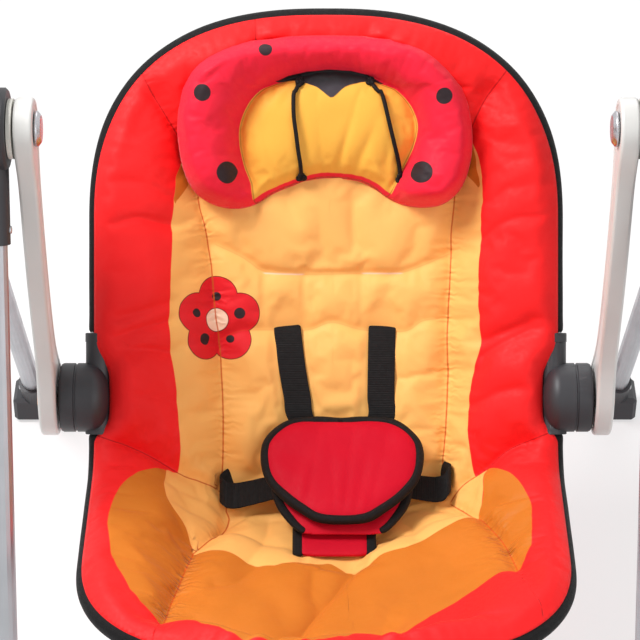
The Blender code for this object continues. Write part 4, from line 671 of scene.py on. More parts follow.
def webbing_paint(name, colour=NEAR_BLACK, pitch=0.0016):
    """Ribbed woven tape: ribs across it, and fine threads along, with painted shade in the grooves and a painted
    highlight on the rib tops.
    """
    paint = Paint(name)
    x, y = paint.laid()
    height = paint.math("ADD", paint.waves(y, pitch), paint.times(paint.waves(x, 0.0011), 0.35))
    # Painted shade and highlight: the colour falls to half in the rib grooves and rises on the rib tops
    shade = paint.tone(colour, paint.ramp(height, -1.2, 1.2), 0.5, 1.15)
    rough = paint.ramp(paint.noise(paint.place(), 0.003), 0.3, 0.7, 0.55, 0.7)
    return paint.surface(shade, rough, paint.bump(height, 0.00016, 0.8), Sheen_Weight=0.02, Specular_IOR_Level=0.2)


def moulded_paint(name, colour, roughness):
    """Moulded plastic with a fine spark-eroded grain."""
    grain, depth = 0.0009, 0.00005
    paint = Paint(name)
    place = paint.place()
    rough = paint.ramp(paint.noise(place, 0.05, 4.0), 0.3, 0.7, roughness - 0.05, roughness + 0.07)
    shade = paint.tone(colour, paint.noise(place, 0.09, 3.0), 0.96, 1.04)
    grainy = paint.bump(paint.noise(place, grain, 2.0), depth, 0.7)
    return paint.surface(shade, rough, grainy)


def metal_paint(name, colour, roughness, metallic=1.0, brushed=(1, 1, 1)):
    """Metal with fine streaks, drawn out along an axis where brushed is small."""
    paint = Paint(name)
    stretched = paint.put("ShaderNodeVectorMath", {"operation": "MULTIPLY"}, {0: paint.place(), 1: brushed})
    streaks = paint.noise(stretched.outputs[0], 0.0012, 3.0)
    rough = paint.ramp(streaks, 0.25, 0.75, roughness - 0.06, roughness + 0.1)
    shade = paint.tone(colour, paint.noise(paint.place(), 0.05, 3.0), 0.93, 1.05)
    return paint.surface(shade, rough, paint.bump(streaks, 0.00002, 0.5), Metallic=metallic)


PAINTS = {
    "cover": cover_paint(),
    "plastic_charcoal": moulded_paint("charcoal_plastic", linear(46, 46, 50), 0.5),
    "plastic_light": moulded_paint("light_plastic", linear(214, 213, 210), 0.36),
    "plastic_orange": moulded_paint("orange_plastic", linear(240, 138, 48), 0.34),
    "tube_grey": metal_paint("satin_tube", linear(176, 178, 182), 0.34, 0.75, (1, 0.05, 0.05)),
    "steel": metal_paint("turned_steel", linear(190, 190, 194), 0.28),
    "nylon": moulded_paint("natural_nylon", linear(222, 219, 210), 0.45),
    "board_green": moulded_paint("board_laminate", linear(36, 108, 66), 0.4),
    "cell_jacket": moulded_paint("cell_jacket", linear(88, 94, 104), 0.3),
    "webbing_black": webbing_paint("black_webbing"),
    "binding": webbing_paint("black_binding", linear(13, 10, 11), 0.0011),
    "cord": webbing_paint("black_cord", linear(18, 15, 16), 0.0013),
    "harness": plain_cloth("harness_cloth", HARNESS_RED, sheen=0.0, specular=0.12),
}

slot_of = {piece["node"]: piece["material_slot"] for piece in frame["record"]["subparts"]}
for name, obj in frame["nodes"].items():
    paint = PAINTS.get(slot_of[name], PAINTS["plastic_charcoal"])
    obj.data.materials.clear()
    obj.data.materials.append(paint)


# Hard pieces with their edges broken, and the hubs turned smooth


def into_mesh(name, build):
    """A new object out of what build adds to an empty bmesh."""
    mesh = bpy.data.meshes.new(name)
    edit_mesh(mesh, build)
    return add_object(name, mesh)


def put_rod(bm, start, end, radius):
    start, end = Vector(start), Vector(end)
    turn = (end - start).to_track_quat("Z", "Y").to_matrix().to_4x4()
    place = Matrix.Translation((start + end) / 2) @ turn
    size = {"radius1": radius, "radius2": radius, "depth": (end - start).length}
    bmesh.ops.create_cone(bm, cap_ends=True, segments=48, matrix=place, **size)


def put_box(bm, low, high):
    low, high = Vector(low), Vector(high)
    place = Matrix.Translation((low + high) / 2) @ Matrix.Diagonal((*(high - low), 1))
    bmesh.ops.create_cube(bm, size=1, matrix=place)


def settle_modifiers(obj):
    """Makes the modified shape the object's own mesh."""
    seen = obj.evaluated_get(bpy.context.evaluated_depsgraph_get())
    mesh = bpy.data.meshes.new_from_object(seen)
    obj.modifiers.clear()
    obj.data = mesh


def combine(obj, operation, build):
    other = into_mesh("tool", build)
    edit_mesh(other.data, face_outwards)
    modifier = obj.modifiers.new("Combine", "BOOLEAN")
    modifier.operation, modifier.object, modifier.solver = operation, other, "EXACT"
    settle_modifiers(obj)
    bpy.data.objects.remove(other)


def break_edges(obj, width, segments=2):
    """Rounds the edges that are sharper than 32 degrees and lets the faces meet smoothly."""
    obj.data.shade_smooth()
    rounding = obj.modifiers.new("Rounding", "BEVEL")
    rounding.width, rounding.segments, rounding.limit_method = width, segments, "ANGLE"
    rounding.angle_limit, rounding.use_clamp_overlap = math.radians(32), True
    even = obj.modifiers.new("Even", "WEIGHTED_NORMAL")
    even.weight = 60
    settle_modifiers(obj)


def across_seat(side, x, point):
    """The point (y, z) at x on one side."""
    return Vector((side * x, *point))


def hub(side, word):
    """A turned hub with a groove round it, a domed inner end, and sockets for the two seat tubes."""
    in_groove = HUB_RADIUS - 0.0011
    profile = [(0.0280, HUB_OUT), (0.0301, HUB_OUT - 0.0009), (HUB_RADIUS, HUB_OUT - 0.003)]
    profile += [(HUB_RADIUS, 0.2252), (in_groove, 0.2247), (in_groove, 0.2233), (HUB_RADIUS, 0.2228)]
    tube_bore, pin_bore, socket, lip = 0.0083, 0.0093, 0.0120, 0.0125
    for angle in np.linspace(0, math.pi / 2, 11)[:-1]:
        profile.append((HUB_RADIUS * math.cos(angle) ** 0.8, HUB_IN + HUB_DOME * (1 - math.sin(angle))))
    obj = turned(f"seat_hub_{word}_shell", profile, 72, side, PIVOT)

    def along_tube(start, end, radius):
        ends = [across_seat(side, HALF_WIDTH, PIVOT + UP_BACK * reach) for reach in (start, end)]
        return lambda bm: put_rod(bm, *ends, radius)

    def bores(bm):
        along_tube(0.0152, 0.066, tube_bore)(bm)
        along_tube(-0.0152, -0.041, tube_bore)(bm)
        put_rod(bm, across_seat(side, 0.2217, PIVOT), across_seat(side, 0.243, PIVOT), pin_bore)

    for start, end, radius in ((-0.033, 0.058, socket), (0.0500, 0.0576, lip), (-0.0326, -0.0290, lip)):
        combine(obj, "UNION", along_tube(start, end, radius))
    combine(obj, "DIFFERENCE", bores)
    break_edges(obj, 0.0007)
    finish(obj, "seat", PAINTS["plastic_charcoal"], (f"seat_hub_{word}",))


def dress_solid(node, width):
    """The CAD piece with its edges broken."""
    source = frame["nodes"][node]
    mesh = source.data.copy()
    mesh.transform(source.matrix_world)
    obj = add_object(f"{node}_shell", mesh)

    def join_flat_faces(bm):
        bmesh.ops.remove_doubles(bm, verts=bm.verts, dist=0.00001)
        bmesh.ops.dissolve_limit(bm, angle_limit=math.radians(1.0), verts=bm.verts, edges=bm.edges)

    edit_mesh(mesh, join_flat_faces)
    break_edges(obj, width)
    slot = slot_of[node]
    finish(obj, body_of[node], PAINTS[slot], (node,))


def on_pod(side, x, flat):
    """Flat points (y, z) from the axle, carried to x."""
    flat = np.asarray(flat, float)
    return np.stack((np.full(len(flat), side * x), flat[:, 0], AXLE_HEIGHT + flat[:, 1]), -1)


def arm_ring(x, inset):
    """The arm's outline drawn in by inset: a boss at each end, a slim waist and a slight bow."""
    drop = np.linspace(0, ARM_LENGTH, 44)[1:-1]
    half = ARM_WAIST - inset + (ARM_TOP - ARM_WAIST) * bell(drop, 1.2 * ARM_TOP)
    half += (ARM_BOTTOM - ARM_WAIST) * bell(ARM_LENGTH - drop, 1.2 * ARM_BOTTOM)
    bow = -ARM_BOW * np.sin(math.pi * drop / ARM_LENGTH)
    top = (ARM_TOP - inset) * heading(np.linspace(0, math.pi, 25))
    low = (ARM_BOTTOM - inset) * heading(np.linspace(math.pi, 2 * math.pi, 29)) - (0, ARM_LENGTH)
    near, far = np.c_[bow - half, -drop], np.c_[bow + half, -drop][::-1]
    return on_pod(1, x, np.concatenate((top, near, low, far)))


def arm(side, word):
    """A moulded arm with rounded edges and a shallow panel sunk in each face."""
    sunk, panel_edge, rounding = 0.0007, 0.0059, 0.003
    pin_radius, axle_bore, button_bore = 0.009, 0.0083, 0.0108
    inner = [(sunk, panel_edge + sunk), (0, panel_edge)]
    for angle in np.linspace(math.pi / 2, 0, 6):
        inner.append((rounding * (1 - math.sin(angle)), rounding * (1 - math.cos(angle))))
    rings = [arm_ring(side * (ARM_IN + d), i) for d, i in inner]
    rings += [arm_ring(side * (ARM_OUT - d), i) for d, i in inner[::-1]]
    obj = rings_mesh(f"{word}_arm_shell", rings)
    low, top = PIVOT, (0, AXLE_HEIGHT)

    def pin(bm):
        put_rod(bm, across_seat(side, HUB_OUT - 0.016, low), across_seat(side, ARM_IN + 0.003, low), pin_radius)

    def holes(bm):
        put_rod(bm, across_seat(side, ARM_IN - 0.01, top), across_seat(side, ARM_OUT + 0.01, top), axle_bore)
        put_rod(bm, across_seat(side, ARM_OUT - 0.0115, low), across_seat(side, ARM_OUT + 0.01, low), button_bore)

    combine(obj, "UNION", pin)
    combine(obj, "DIFFERENCE", holes)
    break_edges(obj, 0.0004)
    finish(obj, "swing", PAINTS["plastic_light"], (f"{word}_arm",))


body_of = {node: body for body, nodes in frame["record"]["behaviour"]["bodies"].items() for node in nodes}
# How wide the edges of each CAD piece are broken, on both sides
EDGE_WIDTHS = {
    "{}_pod_inner": 0.0007, "{}_pod_outer": 0.0006, "knuckle_{}": 0.0010, "rear_foot_{}": 0.0012,
    "front_foot_{}": 0.0012, "fold_button_{}": 0.0005, "recline_button_{}": 0.0005, "swing_axle_{}": 0.0006,
}
for side, word in SIDES:
    hub(side, word)
    arm(side, word)
    for node, width in EDGE_WIDTHS.items():
        dress_solid(node.format(word), width)
for node in ("battery_door", "power_button", "speed_button", "music_button"):
    dress_solid(node, 0.0005)

# Moulded beads, button marks, grip ribs and screws


def bead(name, side, x, flat, body, radius=0.0009, closed=True, slot="plastic_light"):
    piece = sweep(name, on_pod(side, x, flat), circle(radius, 10), up=(side, 0, 0), closed=closed)
    finish(piece, body, PAINTS[slot])


def ring(centre, radius, start=0.0, end=360.0, count=40):
    angle = np.radians(np.linspace(start, end, count + 1)[: count + (end - start < 360)])
    return np.array(centre) + radius * heading(angle)


def pod_outline(inset):
    way = circle(1, 120)
    out = (np.abs(way) ** POD_POWER).sum(1, keepdims=True) ** (-1 / POD_POWER)
    return (POD_HALF_DEPTH - inset, POD_HALF_HEIGHT - inset) * way * out


# The three buttons lie on an arc round the axle. Each bead and mark is given as (y, z) from the axle or button
AXLE, BUTTONS_RADIUS, CROWN = (0, 0), 0.048, POD_OUT + 0.002
controls = np.concatenate((ring(AXLE, 0.0625, 92, 191, 16), ring(AXLE, 0.0335, 92, 191, 10)[::-1]))
bead("controls_bead", 1, POD_OUT, smooth_line(controls, True, 0.002), "stand")
bead("speaker_bead", 1, POD_OUT, ring((0.046, -0.003), 0.0203), "stand")
bead("left_pod_bead", -1, POD_OUT, pod_outline(0.013), "stand")
for side, word in SIDES:
    bead(f"fold_bead_{word}", side, POD_OUT, ring((0.040, 0.038), 0.0116), "stand", 0.0008)
BUTTON_ANGLES = {"power": 175, "speed": 140, "music": 108}
MARKS = (
    ("power", "ring", ring((0, 0), 0.0031, 125, 415, 24)),
    ("power", "bar", mm((0, 0.6), (0, 2.4), (0, 4.2))),
    ("speed", "chevron_1", mm((2.3, 2.2), (0.3, 0), (2.3, -2.2))),
    ("speed", "chevron_2", mm((0.1, 2.2), (-1.9, 0), (0.1, -2.2))),
    ("music", "stem", mm((-1.0, -1.9), (-1.0, 0.5), (-1.0, 2.8), (-2.4, 1.6))),
    ("music", "head", ring((0.0, -1.9e-3), 0.0010, count=14)),
)
for key, part, flat in MARKS:
    at = BUTTONS_RADIUS * heading(math.radians(BUTTON_ANGLES[key]))
    bead(f"{key}_mark_{part}", 1, CROWN, at + flat, f"{key}_button", 0.00038, part == "head")
door = frame["nodes"]["battery_door"]
corners = np.array([door.matrix_world @ Vector(corner) for corner in door.bound_box])
door_low, door_high = corners.min(0), corners.max(0)
door_z = (door_low[2] + door_high[2]) / 2 - AXLE_HEIGHT
first_rib, rib_spacing, half_rib = 0.0070, 0.0026, 0.0085
for i in range(5):
    y = door_low[1] + first_rib + rib_spacing * i
    rib = [(y, door_z + z) for z in np.linspace(-half_rib, half_rib, 5)]
    bead(f"door_rib_{i + 1}", 1, door_high[0] - 0.0001, rib, "battery_door", 0.0007, False)


def screw_head():
    """A pan head with a cross recess, pointing along +X."""
    profile = mm((3.4, -0.4), (3.4, 0.5), (3.1, 0.9), (2.4, 1.3), (1.2, 1.5), (0.2, 1.55))
    obj = turned("screw", profile, 24)

    def cross(bm):
        for y, z in ((0.0019, 0.00038), (0.00038, 0.0019)):
            put_box(bm, (0.0006, -y, -z), (0.003, y, z))

    combine(obj, "DIFFERENCE", cross)
    points = np.array([vertex.co[:] for vertex in obj.data.vertices])
    faces = [list(face.vertices) for face in obj.data.polygons]
    bpy.data.objects.remove(obj)
    return points, faces


def down_leg(x, way, distance):
    """The place on a leg's middle line, moved to x, at a distance from the axle."""
    return on_pod(1, x, [unit(np.array((way * FOOT_SPREAD, -LEG_DROP))) * distance])[0]


SCREW_POINTS, SCREW_FACES = screw_head()
# The place of each screw on the right side, and the way that its head points
POD_SCREWS, FOOT_HALF, FOOT_SCREW = 0.060, 0.0134, 0.628
stand_screws = [(on_pod(1, POD_IN, [POD_SCREWS * heading(angle)])[0], -1) for angle in np.radians((35, 90, 145))]
stand_screws += [(down_leg(REAR_X + 0.0129, 1, 0.122), 1), (down_leg(REAR_X + FOOT_HALF, 1, FOOT_SCREW), 1)]
leg_screws = [(down_leg(FRONT_X - 0.0126, -1, 0.084), -1), (down_leg(FRONT_X + FOOT_HALF, -1, FOOT_SCREW), 1)]
for body, places in (("stand", stand_screws), ("front_legs", leg_screws)):
    points, faces = [], []
    for side in (1, -1):
        for place, way in places:
            start = len(points) * len(SCREW_POINTS)
            points.append(SCREW_POINTS * (way * side, 1, way * side) + place * (side, 1, 1))
            faces += [[i + start for i in face] for face in SCREW_FACES]
    screws = as_mesh(f"{body}_screws", np.concatenate(points), faces)
    break_edges(screws, 0.00008, 1)
    finish(screws, body, PAINTS["steel"])

# Camera

target, distance, tilt = Vector((-0.0054, 0.0448, 0.3573)), 2.2, math.radians(40)
half_view = 0.288
camera = add_object("camera", bpy.data.cameras.new("camera"))
camera.location = target + distance * Vector((0, -math.cos(tilt), math.sin(tilt)))
camera.rotation_euler = (math.pi / 2 - tilt, 0, 0)
camera.data.sensor_fit = "HORIZONTAL"
camera.data.angle = 2 * math.atan(half_view / distance)
bpy.context.scene.camera = camera

# Seat cover. Panel outlines and seams are (x, s) in millimetres on the seat's surface

BACK_LEFT = mm(
    (-133, 315), (-139, 303), (-143, 280), (-149, 216), (-150, 165), (-148, 135), (-144, 108), (-142, 79),
    (-139, 52), (-138, 25),
)
BACK_RIGHT = mm(
    (134, 334), (144, 309), (146, 280), (145, 191), (147, 147), (140, 128), (136, 102), (135, 79), (137, 44),
    (139, 20),
)
WING_LEFT_OUT = mm(
    (-152, 24), (-165, 19), (-179, 4), (-190, -23), (-194, -68), (-193, -104), (-186, -149), (-168, -187),
    (-154, -202), (-139, -214),
)
WING_LEFT_IN = mm(
    (-152, 24), (-158, -8), (-152, -33), (-131, -48), (-122, -61), (-119, -77), (-125, -112), (-134, -170),
    (-139, -214),
)
WING_RIGHT_OUT = mm((152, 28), (165, 19), (182, -9), (188, -46), (187, -83), (184, -114), (176, -133), (169, -139))
WING_RIGHT_IN = mm((151, 26), (152, -7), (146, -24), (141, -38), (151, -63), (160, -89), (165, -114), (169, -139))
PANEL_TOP = mm(
    (-118, -77), (-94, -83), (-81, -89), (-64, -98), (-46, -103), (-39, -99), (3, -85), (16, -93), (29, -108),
    (37, -99), (54, -92), (74, -88), (89, -76), (112, -62), (131, -49), (141, -40),
)
PANEL_LOW = mm(
    (168, -141), (132, -168), (90, -192), (50, -228), (16, -257), (-20, -265), (-66, -263), (-104, -248),
    (-139, -214),
)
CHANNEL_LEFT = mm(
    (-119, 330), (-117, 280), (-111, 255), (-106, 223), (-102, 178), (-98, 153), (-96, 118), (-95, 79),
    (-95, 39), (-96, 20),
)
CHANNEL_RIGHT = mm(
    (120, 330), (118, 280), (115, 248), (114, 204), (112, 172), (112, 140), (112, 114), (111, 79), (109, 52),
    (107, 32), (109, 8),
)

# The pillow's outline, (x, y) in millimetres from its centre, which holds the cover down under it
PILLOW_OUT = mm(
    (2, 78), (-37, 77), (-77, 73), (-101, 66), (-120, 54), (-131, 35), (-136, 15), (-138, -8), (-136, -29),
    (-131, -50), (-121, -66), (-104, -76), (-84, -79), (-66, -75), (-49, -65), (-29, -57), (-6, -51),
    (13, -51), (32, -54), (46, -61), (58, -69), (74, -76), (93, -78), (110, -75), (124, -64), (132, -48),
    (136, -26), (135, -4), (130, 19), (118, 45), (100, 63), (77, 73), (40, 77),
)

light_region = np.concatenate((
    BACK_LEFT, smooth_line(WING_LEFT_IN[:6]), PANEL_TOP, WING_RIGHT_IN[3::-1], BACK_RIGHT[::-1],
))
dark_regions = [
    np.concatenate((smooth_line(WING_LEFT_OUT), smooth_line(WING_LEFT_IN)[::-1])),
    np.concatenate((smooth_line(WING_RIGHT_OUT), smooth_line(WING_RIGHT_IN)[::-1])),
    np.concatenate((PANEL_TOP, WING_RIGHT_IN[4:], PANEL_LOW, WING_LEFT_IN[:4:-1])),
    mm((-133, 315), (-139, 303), (-144, 274), (-127, 294)),
    mm((134, 334), (144, 288), (129, 303)),
]

# Each seam: its points, depth, reach, and the depth and spacing of the gathers across it, in millimetres
SEAMS = (
    (CHANNEL_LEFT, 9.5, 11.0, 0.55, 8.5),
    (CHANNEL_RIGHT, 9.5, 11.0, 0.50, 9.0),
    (mm((-166, 394), (-153, 365), (-134, 334), (-124, 310)), 8.5, 9.0, 0.25, 8.0),
    (mm((-64, 446), (-63, 420), (-66, 400)), 4.5, 7.0, 0.15, 8.0),
    (mm((163, 396), (146, 370), (133, 343), (123, 318)), 8.0, 9.0, 0.25, 8.0),
    (WING_LEFT_IN[4:], 7.5, 9.0, 1.3, 6.0),
    (WING_RIGHT_IN[3:], 8.5, 8.5, 1.3, 6.0),
    (mm((-206, 62), (-174, 45), (-138, 25), (-117, 20), (-94, 14), (-90, -2)), 8.0, 9.0, 0.25, 9.0),
    (mm((-90, -2), (-88, -14), (-105, -46), (-119, -76)), 7.5, 10.0, 0.30, 9.0),
    (mm((206, 68), (172, 47), (151, 27), (128, 14), (114, -2)), 7.0, 9.0, 0.30, 8.0),
    (mm((114, -2), (128, -17), (141, -38)), 7.5, 9.0, 0.45, 7.5),
)
# Each quilting line or fold: its points, depth, and reach on its left and right, or on both
LINES = (
    (mm(
        (-102, 240), (-80, 230), (-69, 223), (-57, 216), (-20, 213), (33, 214), (65, 214), (87, 220),
        (113, 231),
    ), 5.0, 8.0),
    (mm(
        (-98, 152), (-80, 161), (-50, 162), (-17, 162), (6, 169), (35, 162), (74, 161), (89, 170), (110, 173),
    ), 5.0, 8.0),
    (mm((-57, 213), (-58, 162)), 2.6, 7.0),
    (mm((-20, 213), (-19, 162)), 3.0, 7.0),
    (mm((33, 213), (33, 162)), 2.6, 7.0),
    (mm((-206, 169), (-177, 179), (-147, 188)), 4.2, 8.0),
    (mm((-206, 151), (-177, 163), (-148, 171)), 6.0, 6.0),
    (mm((-206, 134), (-181, 144), (-148, 142)), 4.6, 7.0),
    (mm((149, 138), (170, 150), (200, 166)), 6.0, 6.0),
    (mm((150, 152), (175, 163), (200, 174)), 4.4, 7.0),
    (mm((70, 117), (112, 124)), 3.2, 8.0),
    (mm((27, -98), (10, -135), (-12, -180), (-29, -230)), 13.0, 9.0, 21.0),
    (mm((-61, -100), (-82, -132), (-98, -138)), 6.0, 11.0),
    (mm((-40, 5), (-92, -18)), 6.0, 12.0),
    (mm((-60, 30), (-93, 10)), 5.0, 9.0),
    (mm((-45, -60), (-92, -30)), 6.0, 12.0),
    (mm((-52, -20), (-58, -60), (-70, -92)), 5.0, 9.0),
    (mm((60, -20), (80, -40), (84, -70)), 4.0, 10.0),
    (mm((-150, 2), (-93, -4)), 4.0, 10.0),
    (mm((-145, -24), (-92, -20)), 3.2, 9.0),
    (mm((-206, 250), (-180, 262), (-150, 258)), 3.2, 8.0),
    (mm((-206, 292), (-178, 296), (-150, 284)), 2.6, 8.0),
    (mm((150, 246), (176, 262), (204, 262)), 3.0, 8.0),
    (mm((-206, 100), (-178, 104), (-146, 96)), 3.0, 8.0),
    (mm((140, 92), (170, 108), (204, 118)), 3.4, 8.0),
)
# A second pair of slots for the shoulder straps, higher up
SLOTS = (mm((-57, 214), (-20, 213)), mm((33, 214), (72, 214)))
# Where the two shoulder straps, the two waist straps and the crotch flap press the cover in
PRESSED = (
    mm((-36, 170), (-35, 150), (-25, 80), (-20, 20)),
    mm((54, 170), (54, 150), (48, 80), (42, 20)),
    mm((-85, 20), (-50, 10), (-20, 0)),
    mm((100, 22), (60, 10), (30, 0)),
    mm((8, -20), (8, -88)),
)
SEAM_LINES = [smooth_line(seam[0]) for seam in SEAMS]
QUILT_LINES = [smooth_line(line[0]) for line in LINES]
PRESSED_LINES = [smooth_line(line) for line in PRESSED]
# A raised fold beside the right wing
RIDGE = smooth_line(mm((30, -100), (56, -80), (88, -64), (112, -50), (140, -44)))
# The cover stands out this far over the tube's middle, less at the head, and is cut back round the hubs
SIDE_OUT, HEAD_DRAWN_IN, HUB_NOTCH, NOTCH_REACH = 0.0038, 0.0018, 0.0138, 0.0365
# How sharp a seam and a fold are, how straps press, and the fullness between the seams
SEAM_ROUNDING, FOLD_ROUNDING = 0.0011, 0.0018
PRESS_DEPTH, PRESS_HALF, PRESS_SLOPE = 0.0030, 0.010, 0.014
FULLNESS, FULL_REACH = 0.0045, 0.022
RIDGE_HEIGHT, RIDGE_BEHIND, RIDGE_BEFORE = 0.006, 0.010, 0.035
# How far in from the rim the cover leaves the tube, and its front and back round over
RIM_REACH, FRONT_ROLL, BACK_ROLL = 0.016, 0.011, 0.016
BACK_AT_RAIL, BACK_REACH = 0.0096, 0.03


def on_corner(end, length, way, out, angle):
    """The point (x, s) of a rounded end, from the side at angle 0 to the middle, moved outwards."""
    power = 2 / OUTLINE_POWER
    x = (HALF_WIDTH + out) * max(math.cos(angle), 0) ** power
    return x, end - way * length + way * (length + out) * math.sin(angle) ** power


def cover_outline():
    """Where the front and back of the cover meet, on the tube's sleeve."""
    head, front = [
        [
            on_corner(end, length, way, SIDE_OUT - (HEAD_DRAWN_IN * ease(angle / 0.5) if way > 0 else 0), angle)
            for angle in np.linspace(0, math.pi / 2, 60)
        ]
        for end, length, way in SEAT_ENDS
    ]
    side_s = np.linspace(front[0][1], head[0][1], 90)[1:-1]
    right = np.array(front[::-1] + [(HALF_WIDTH + SIDE_OUT, s) for s in side_s] + head)
    right[:, 0] -= HUB_NOTCH * np.exp(-np.abs((right[:, 1] - HUB_S) / NOTCH_REACH) ** 6)
    right = right[right[:, 0] > 1e-6]
    return np.concatenate((right, right[::-1] * (-1, 1)))


def gentle(points, size, seed):
    """A soft irregular height from -1 to 1, with bumps of about the given size."""
    draw = np.random.default_rng(seed)
    total = np.zeros(len(points))
    for _ in range(9):
        turn, scale, phase = draw.uniform(0, 2 * np.pi), draw.uniform(0.7, 1.5), draw.uniform(0, 2 * np.pi)
        total += np.sin(points @ (heading(turn) * 2 * np.pi / (size * scale)) + phase)
    return total / 3.5


def stitches(flat, lines):
    """The signed distance from the nearest of some lines, and 1 beside them but 0 past their ends."""
    gaps, _, along, side = (np.array(kind) for kind in zip(*(nearest(flat, line) for line in lines)))
    pick = gaps.argmin(0), np.arange(len(flat))
    length = np.array([run_along(line)[-1] for line in lines])[pick[0]]
    beside = (gaps[pick] < 0.008) & (along[pick] > 1e-5) & (along[pick] < length - 1e-5)
    return gaps[pick] * side[pick], beside.astype(float)


def bolster(flat):
    """The raised roll along the sides."""
    inset, height, at, reach = 0.0106, 0.0105, 0.168, 0.033
    spot = np.abs(flat[:, 0]) * (HALF_WIDTH - inset) / np.maximum(half_width(flat[:, 1], inset), 0.001)
    return height * bell(spot - at, reach)


def rounded(gap, radius):
    """A distance that grows from 0 along a curve instead of from a sharp corner."""
    return np.sqrt(gap**2 + radius**2) - radius


def cover_height(flat, depth):
    """The height of the cover's front over the plain pad, and for its gathers the distance from the seam,
    the length along it, and their strength."""
    height = bolster(flat)
    # Near where two seams meet, the gathers fade
    gaps = np.array([nearest(flat, line)[0] for line in SEAM_LINES])
    first, second = np.partition(gaps, 1, 0)[:2]
    apart = ease((second - first) / 0.012)
    dip, along_closest, strength = np.zeros(len(flat)), np.zeros(len(flat)), np.zeros(len(flat))
    for i, (line, (_, deep, reach, gather, spacing)) in enumerate(zip(SEAM_LINES, SEAMS)):
        gap, _, along, side = nearest(flat, line)
        dip += (deep / 1000 * np.exp(-rounded(gap, SEAM_ROUNDING) / (reach / 1000))) ** 4
        wander = 1.4 * np.sin(2 * np.pi * along / 0.047 + i) + 0.9 * np.sin(2 * np.pi * along / 0.021 + 2 * i)
        wave = np.sin(2 * np.pi * along / (spacing / 1000) + wander + 0.9 * side)
        uneven = 0.6 + 0.4 * np.sin(2 * np.pi * along / 0.033 + 3 * i + side)
        closest = gap <= first
        fade = np.exp(-gap / 0.011) * (1 - np.exp(-gap / 0.002)) * apart
        height += np.where(closest, gather / 1000 * wave * uneven * fade, 0)
        along_closest[closest] = along[closest] + 0.37 * i
        strength[closest] = (apart * gather / 0.6 * (0.55 + 0.45 * uneven))[closest]
    # Seams run into each other without a ridge, while lines and presses add up
    dips = dip**0.25
    for line, (_, deep, *reach) in zip(QUILT_LINES, LINES):
        gap, _, _, side = nearest(flat, line)
        reach = np.where(side > 0, reach[0], reach[-1]) / 1000
        dips += deep / 1000 * np.exp(-rounded(gap, FOLD_ROUNDING) / reach)
    for line in PRESSED_LINES:
        dips += PRESS_DEPTH * ease(1 - (nearest(flat, line)[0] - PRESS_HALF) / PRESS_SLOPE)
    height -= dips * ease((depth - 0.004) / 0.016)
    # Fullness between the seams, the ridge, and soft unevenness
    height += FULLNESS * (1 - np.exp(-first / FULL_REACH))
    behind_it = flat[:, 1] > np.interp(flat[:, 0], RIDGE[:, 0], RIDGE[:, 1])
    height += RIDGE_HEIGHT * bell(nearest(flat, RIDGE)[0], np.where(behind_it, RIDGE_BEHIND, RIDGE_BEFORE))
    height += 0.0011 * gentle(flat, 0.07, 3) + 0.0004 * gentle(flat, 0.028, 4)
    return height, first, along_closest, strength


def off_middle(flat, depth, height):
    """Points at a height over the seat's middle surface, which comes up to the tube all along the rim, where
    the points rise squarely from it."""
    x, s = flat.T
    square = np.c_[np.zeros(len(s)), facing(RAIL.angle(rail_run(s)))]
    rim = bell(depth, RIM_REACH)[:, None]
    out = surface_normal(x, s) * (1 - rim) + square * rim
    middle = mid_surface(x, s)
    middle += (np.c_[x, rail_point(s)] - middle) * rim
    return middle + unit(out) * height[:, None]


def rolled(depth, reach):
    """From 0 at the border to 1 at a depth of reach, along a quarter circle."""
    return np.sqrt(1 - (1 - np.clip(depth / reach, 0, 1)) ** 2)


def cover_front(flat, depth):
    height = PAD_DEPTH / 2 + cover_height(flat, depth)[0]
    return off_middle(flat, depth, EDGE_HEIGHT + (height - EDGE_HEIGHT) * rolled(depth, FRONT_ROLL))


def cover_back(flat, depth):
    near_rail = bell(depth, BACK_REACH)
    thick = BACK_AT_RAIL * near_rail + PAD_DEPTH / 2 * (1 - near_rail)
    thick += 0.0006 * gentle(flat, 0.06, 8)
    return off_middle(flat, depth, -BACK_EDGE_HEIGHT - (thick - BACK_EDGE_HEIGHT) * rolled(depth, BACK_ROLL))


def cover_values(flat, depth):
    found = {"lay": on_paper(flat), "front": np.ones(len(flat)), "light": depth_in(flat, light_region)}
    found["dark"] = np.max([depth_in(flat, region) for region in dark_regions], 0)
    _, _, found["along"], found["gather"] = cover_height(flat, depth)
    found["seam"], found["seam_sewn"] = stitches(flat, SEAM_LINES)
    found["quilt"], found["quilt_sewn"] = stitches(flat, QUILT_LINES[:2])
    found["slot"], found["slot_sewn"] = stitches(flat, SLOTS)
    return found


def cover_held(flat, depth):
    """Sewn down at the seams and the rim, and held under the straps and the pillow."""
    seam = cover_height(flat, depth)[1]
    lines = np.min([nearest(flat, line)[0] for line in QUILT_LINES[:5]], 0)
    under = depth_in(flat - (0, PILLOW_S), PILLOW_OUT)
    straps = np.min([nearest(flat, line)[0] for line in PRESSED_LINES], 0)
    sewn = (bell(seam, 0.003), 0.85 * bell(lines, 0.004), bell(depth, 0.006))
    return np.max((*sewn, ease((0.020 - straps) / 0.008), ease((under - 0.006) / 0.010)), 0)


cover = padded_form(
    "seat_cover", cover_outline(), COVER_STEP, cover_front, cover_back, cover_values,
    {"light": -0.01, "dark": -0.01, "front": 0.0, "gather": 0.0, "quilt_sewn": 0.0, "slot_sewn": 0.0},
    cover_held, growth=0.032, most=0.005,
)
finish(cover, "seat", PAINTS["cover"], ("seat_pad",), 1)
cover_tree = tree_of(cover)


def lay_on(tree, above, x, s, lift):
    """A point lifted off the first thing that the tree holds under (x, s), seen from a height above the seat."""
    out = Vector(surface_normal(x, s))
    return tree.ray_cast(Vector(on_seat(x, s, above)), -out)[0] + out * lift


def lay_on_cover(x, s, lift):
    return np.array(lay_on(cover_tree, 0.06, x, s, lift))


# Black binding over the seat's tubes

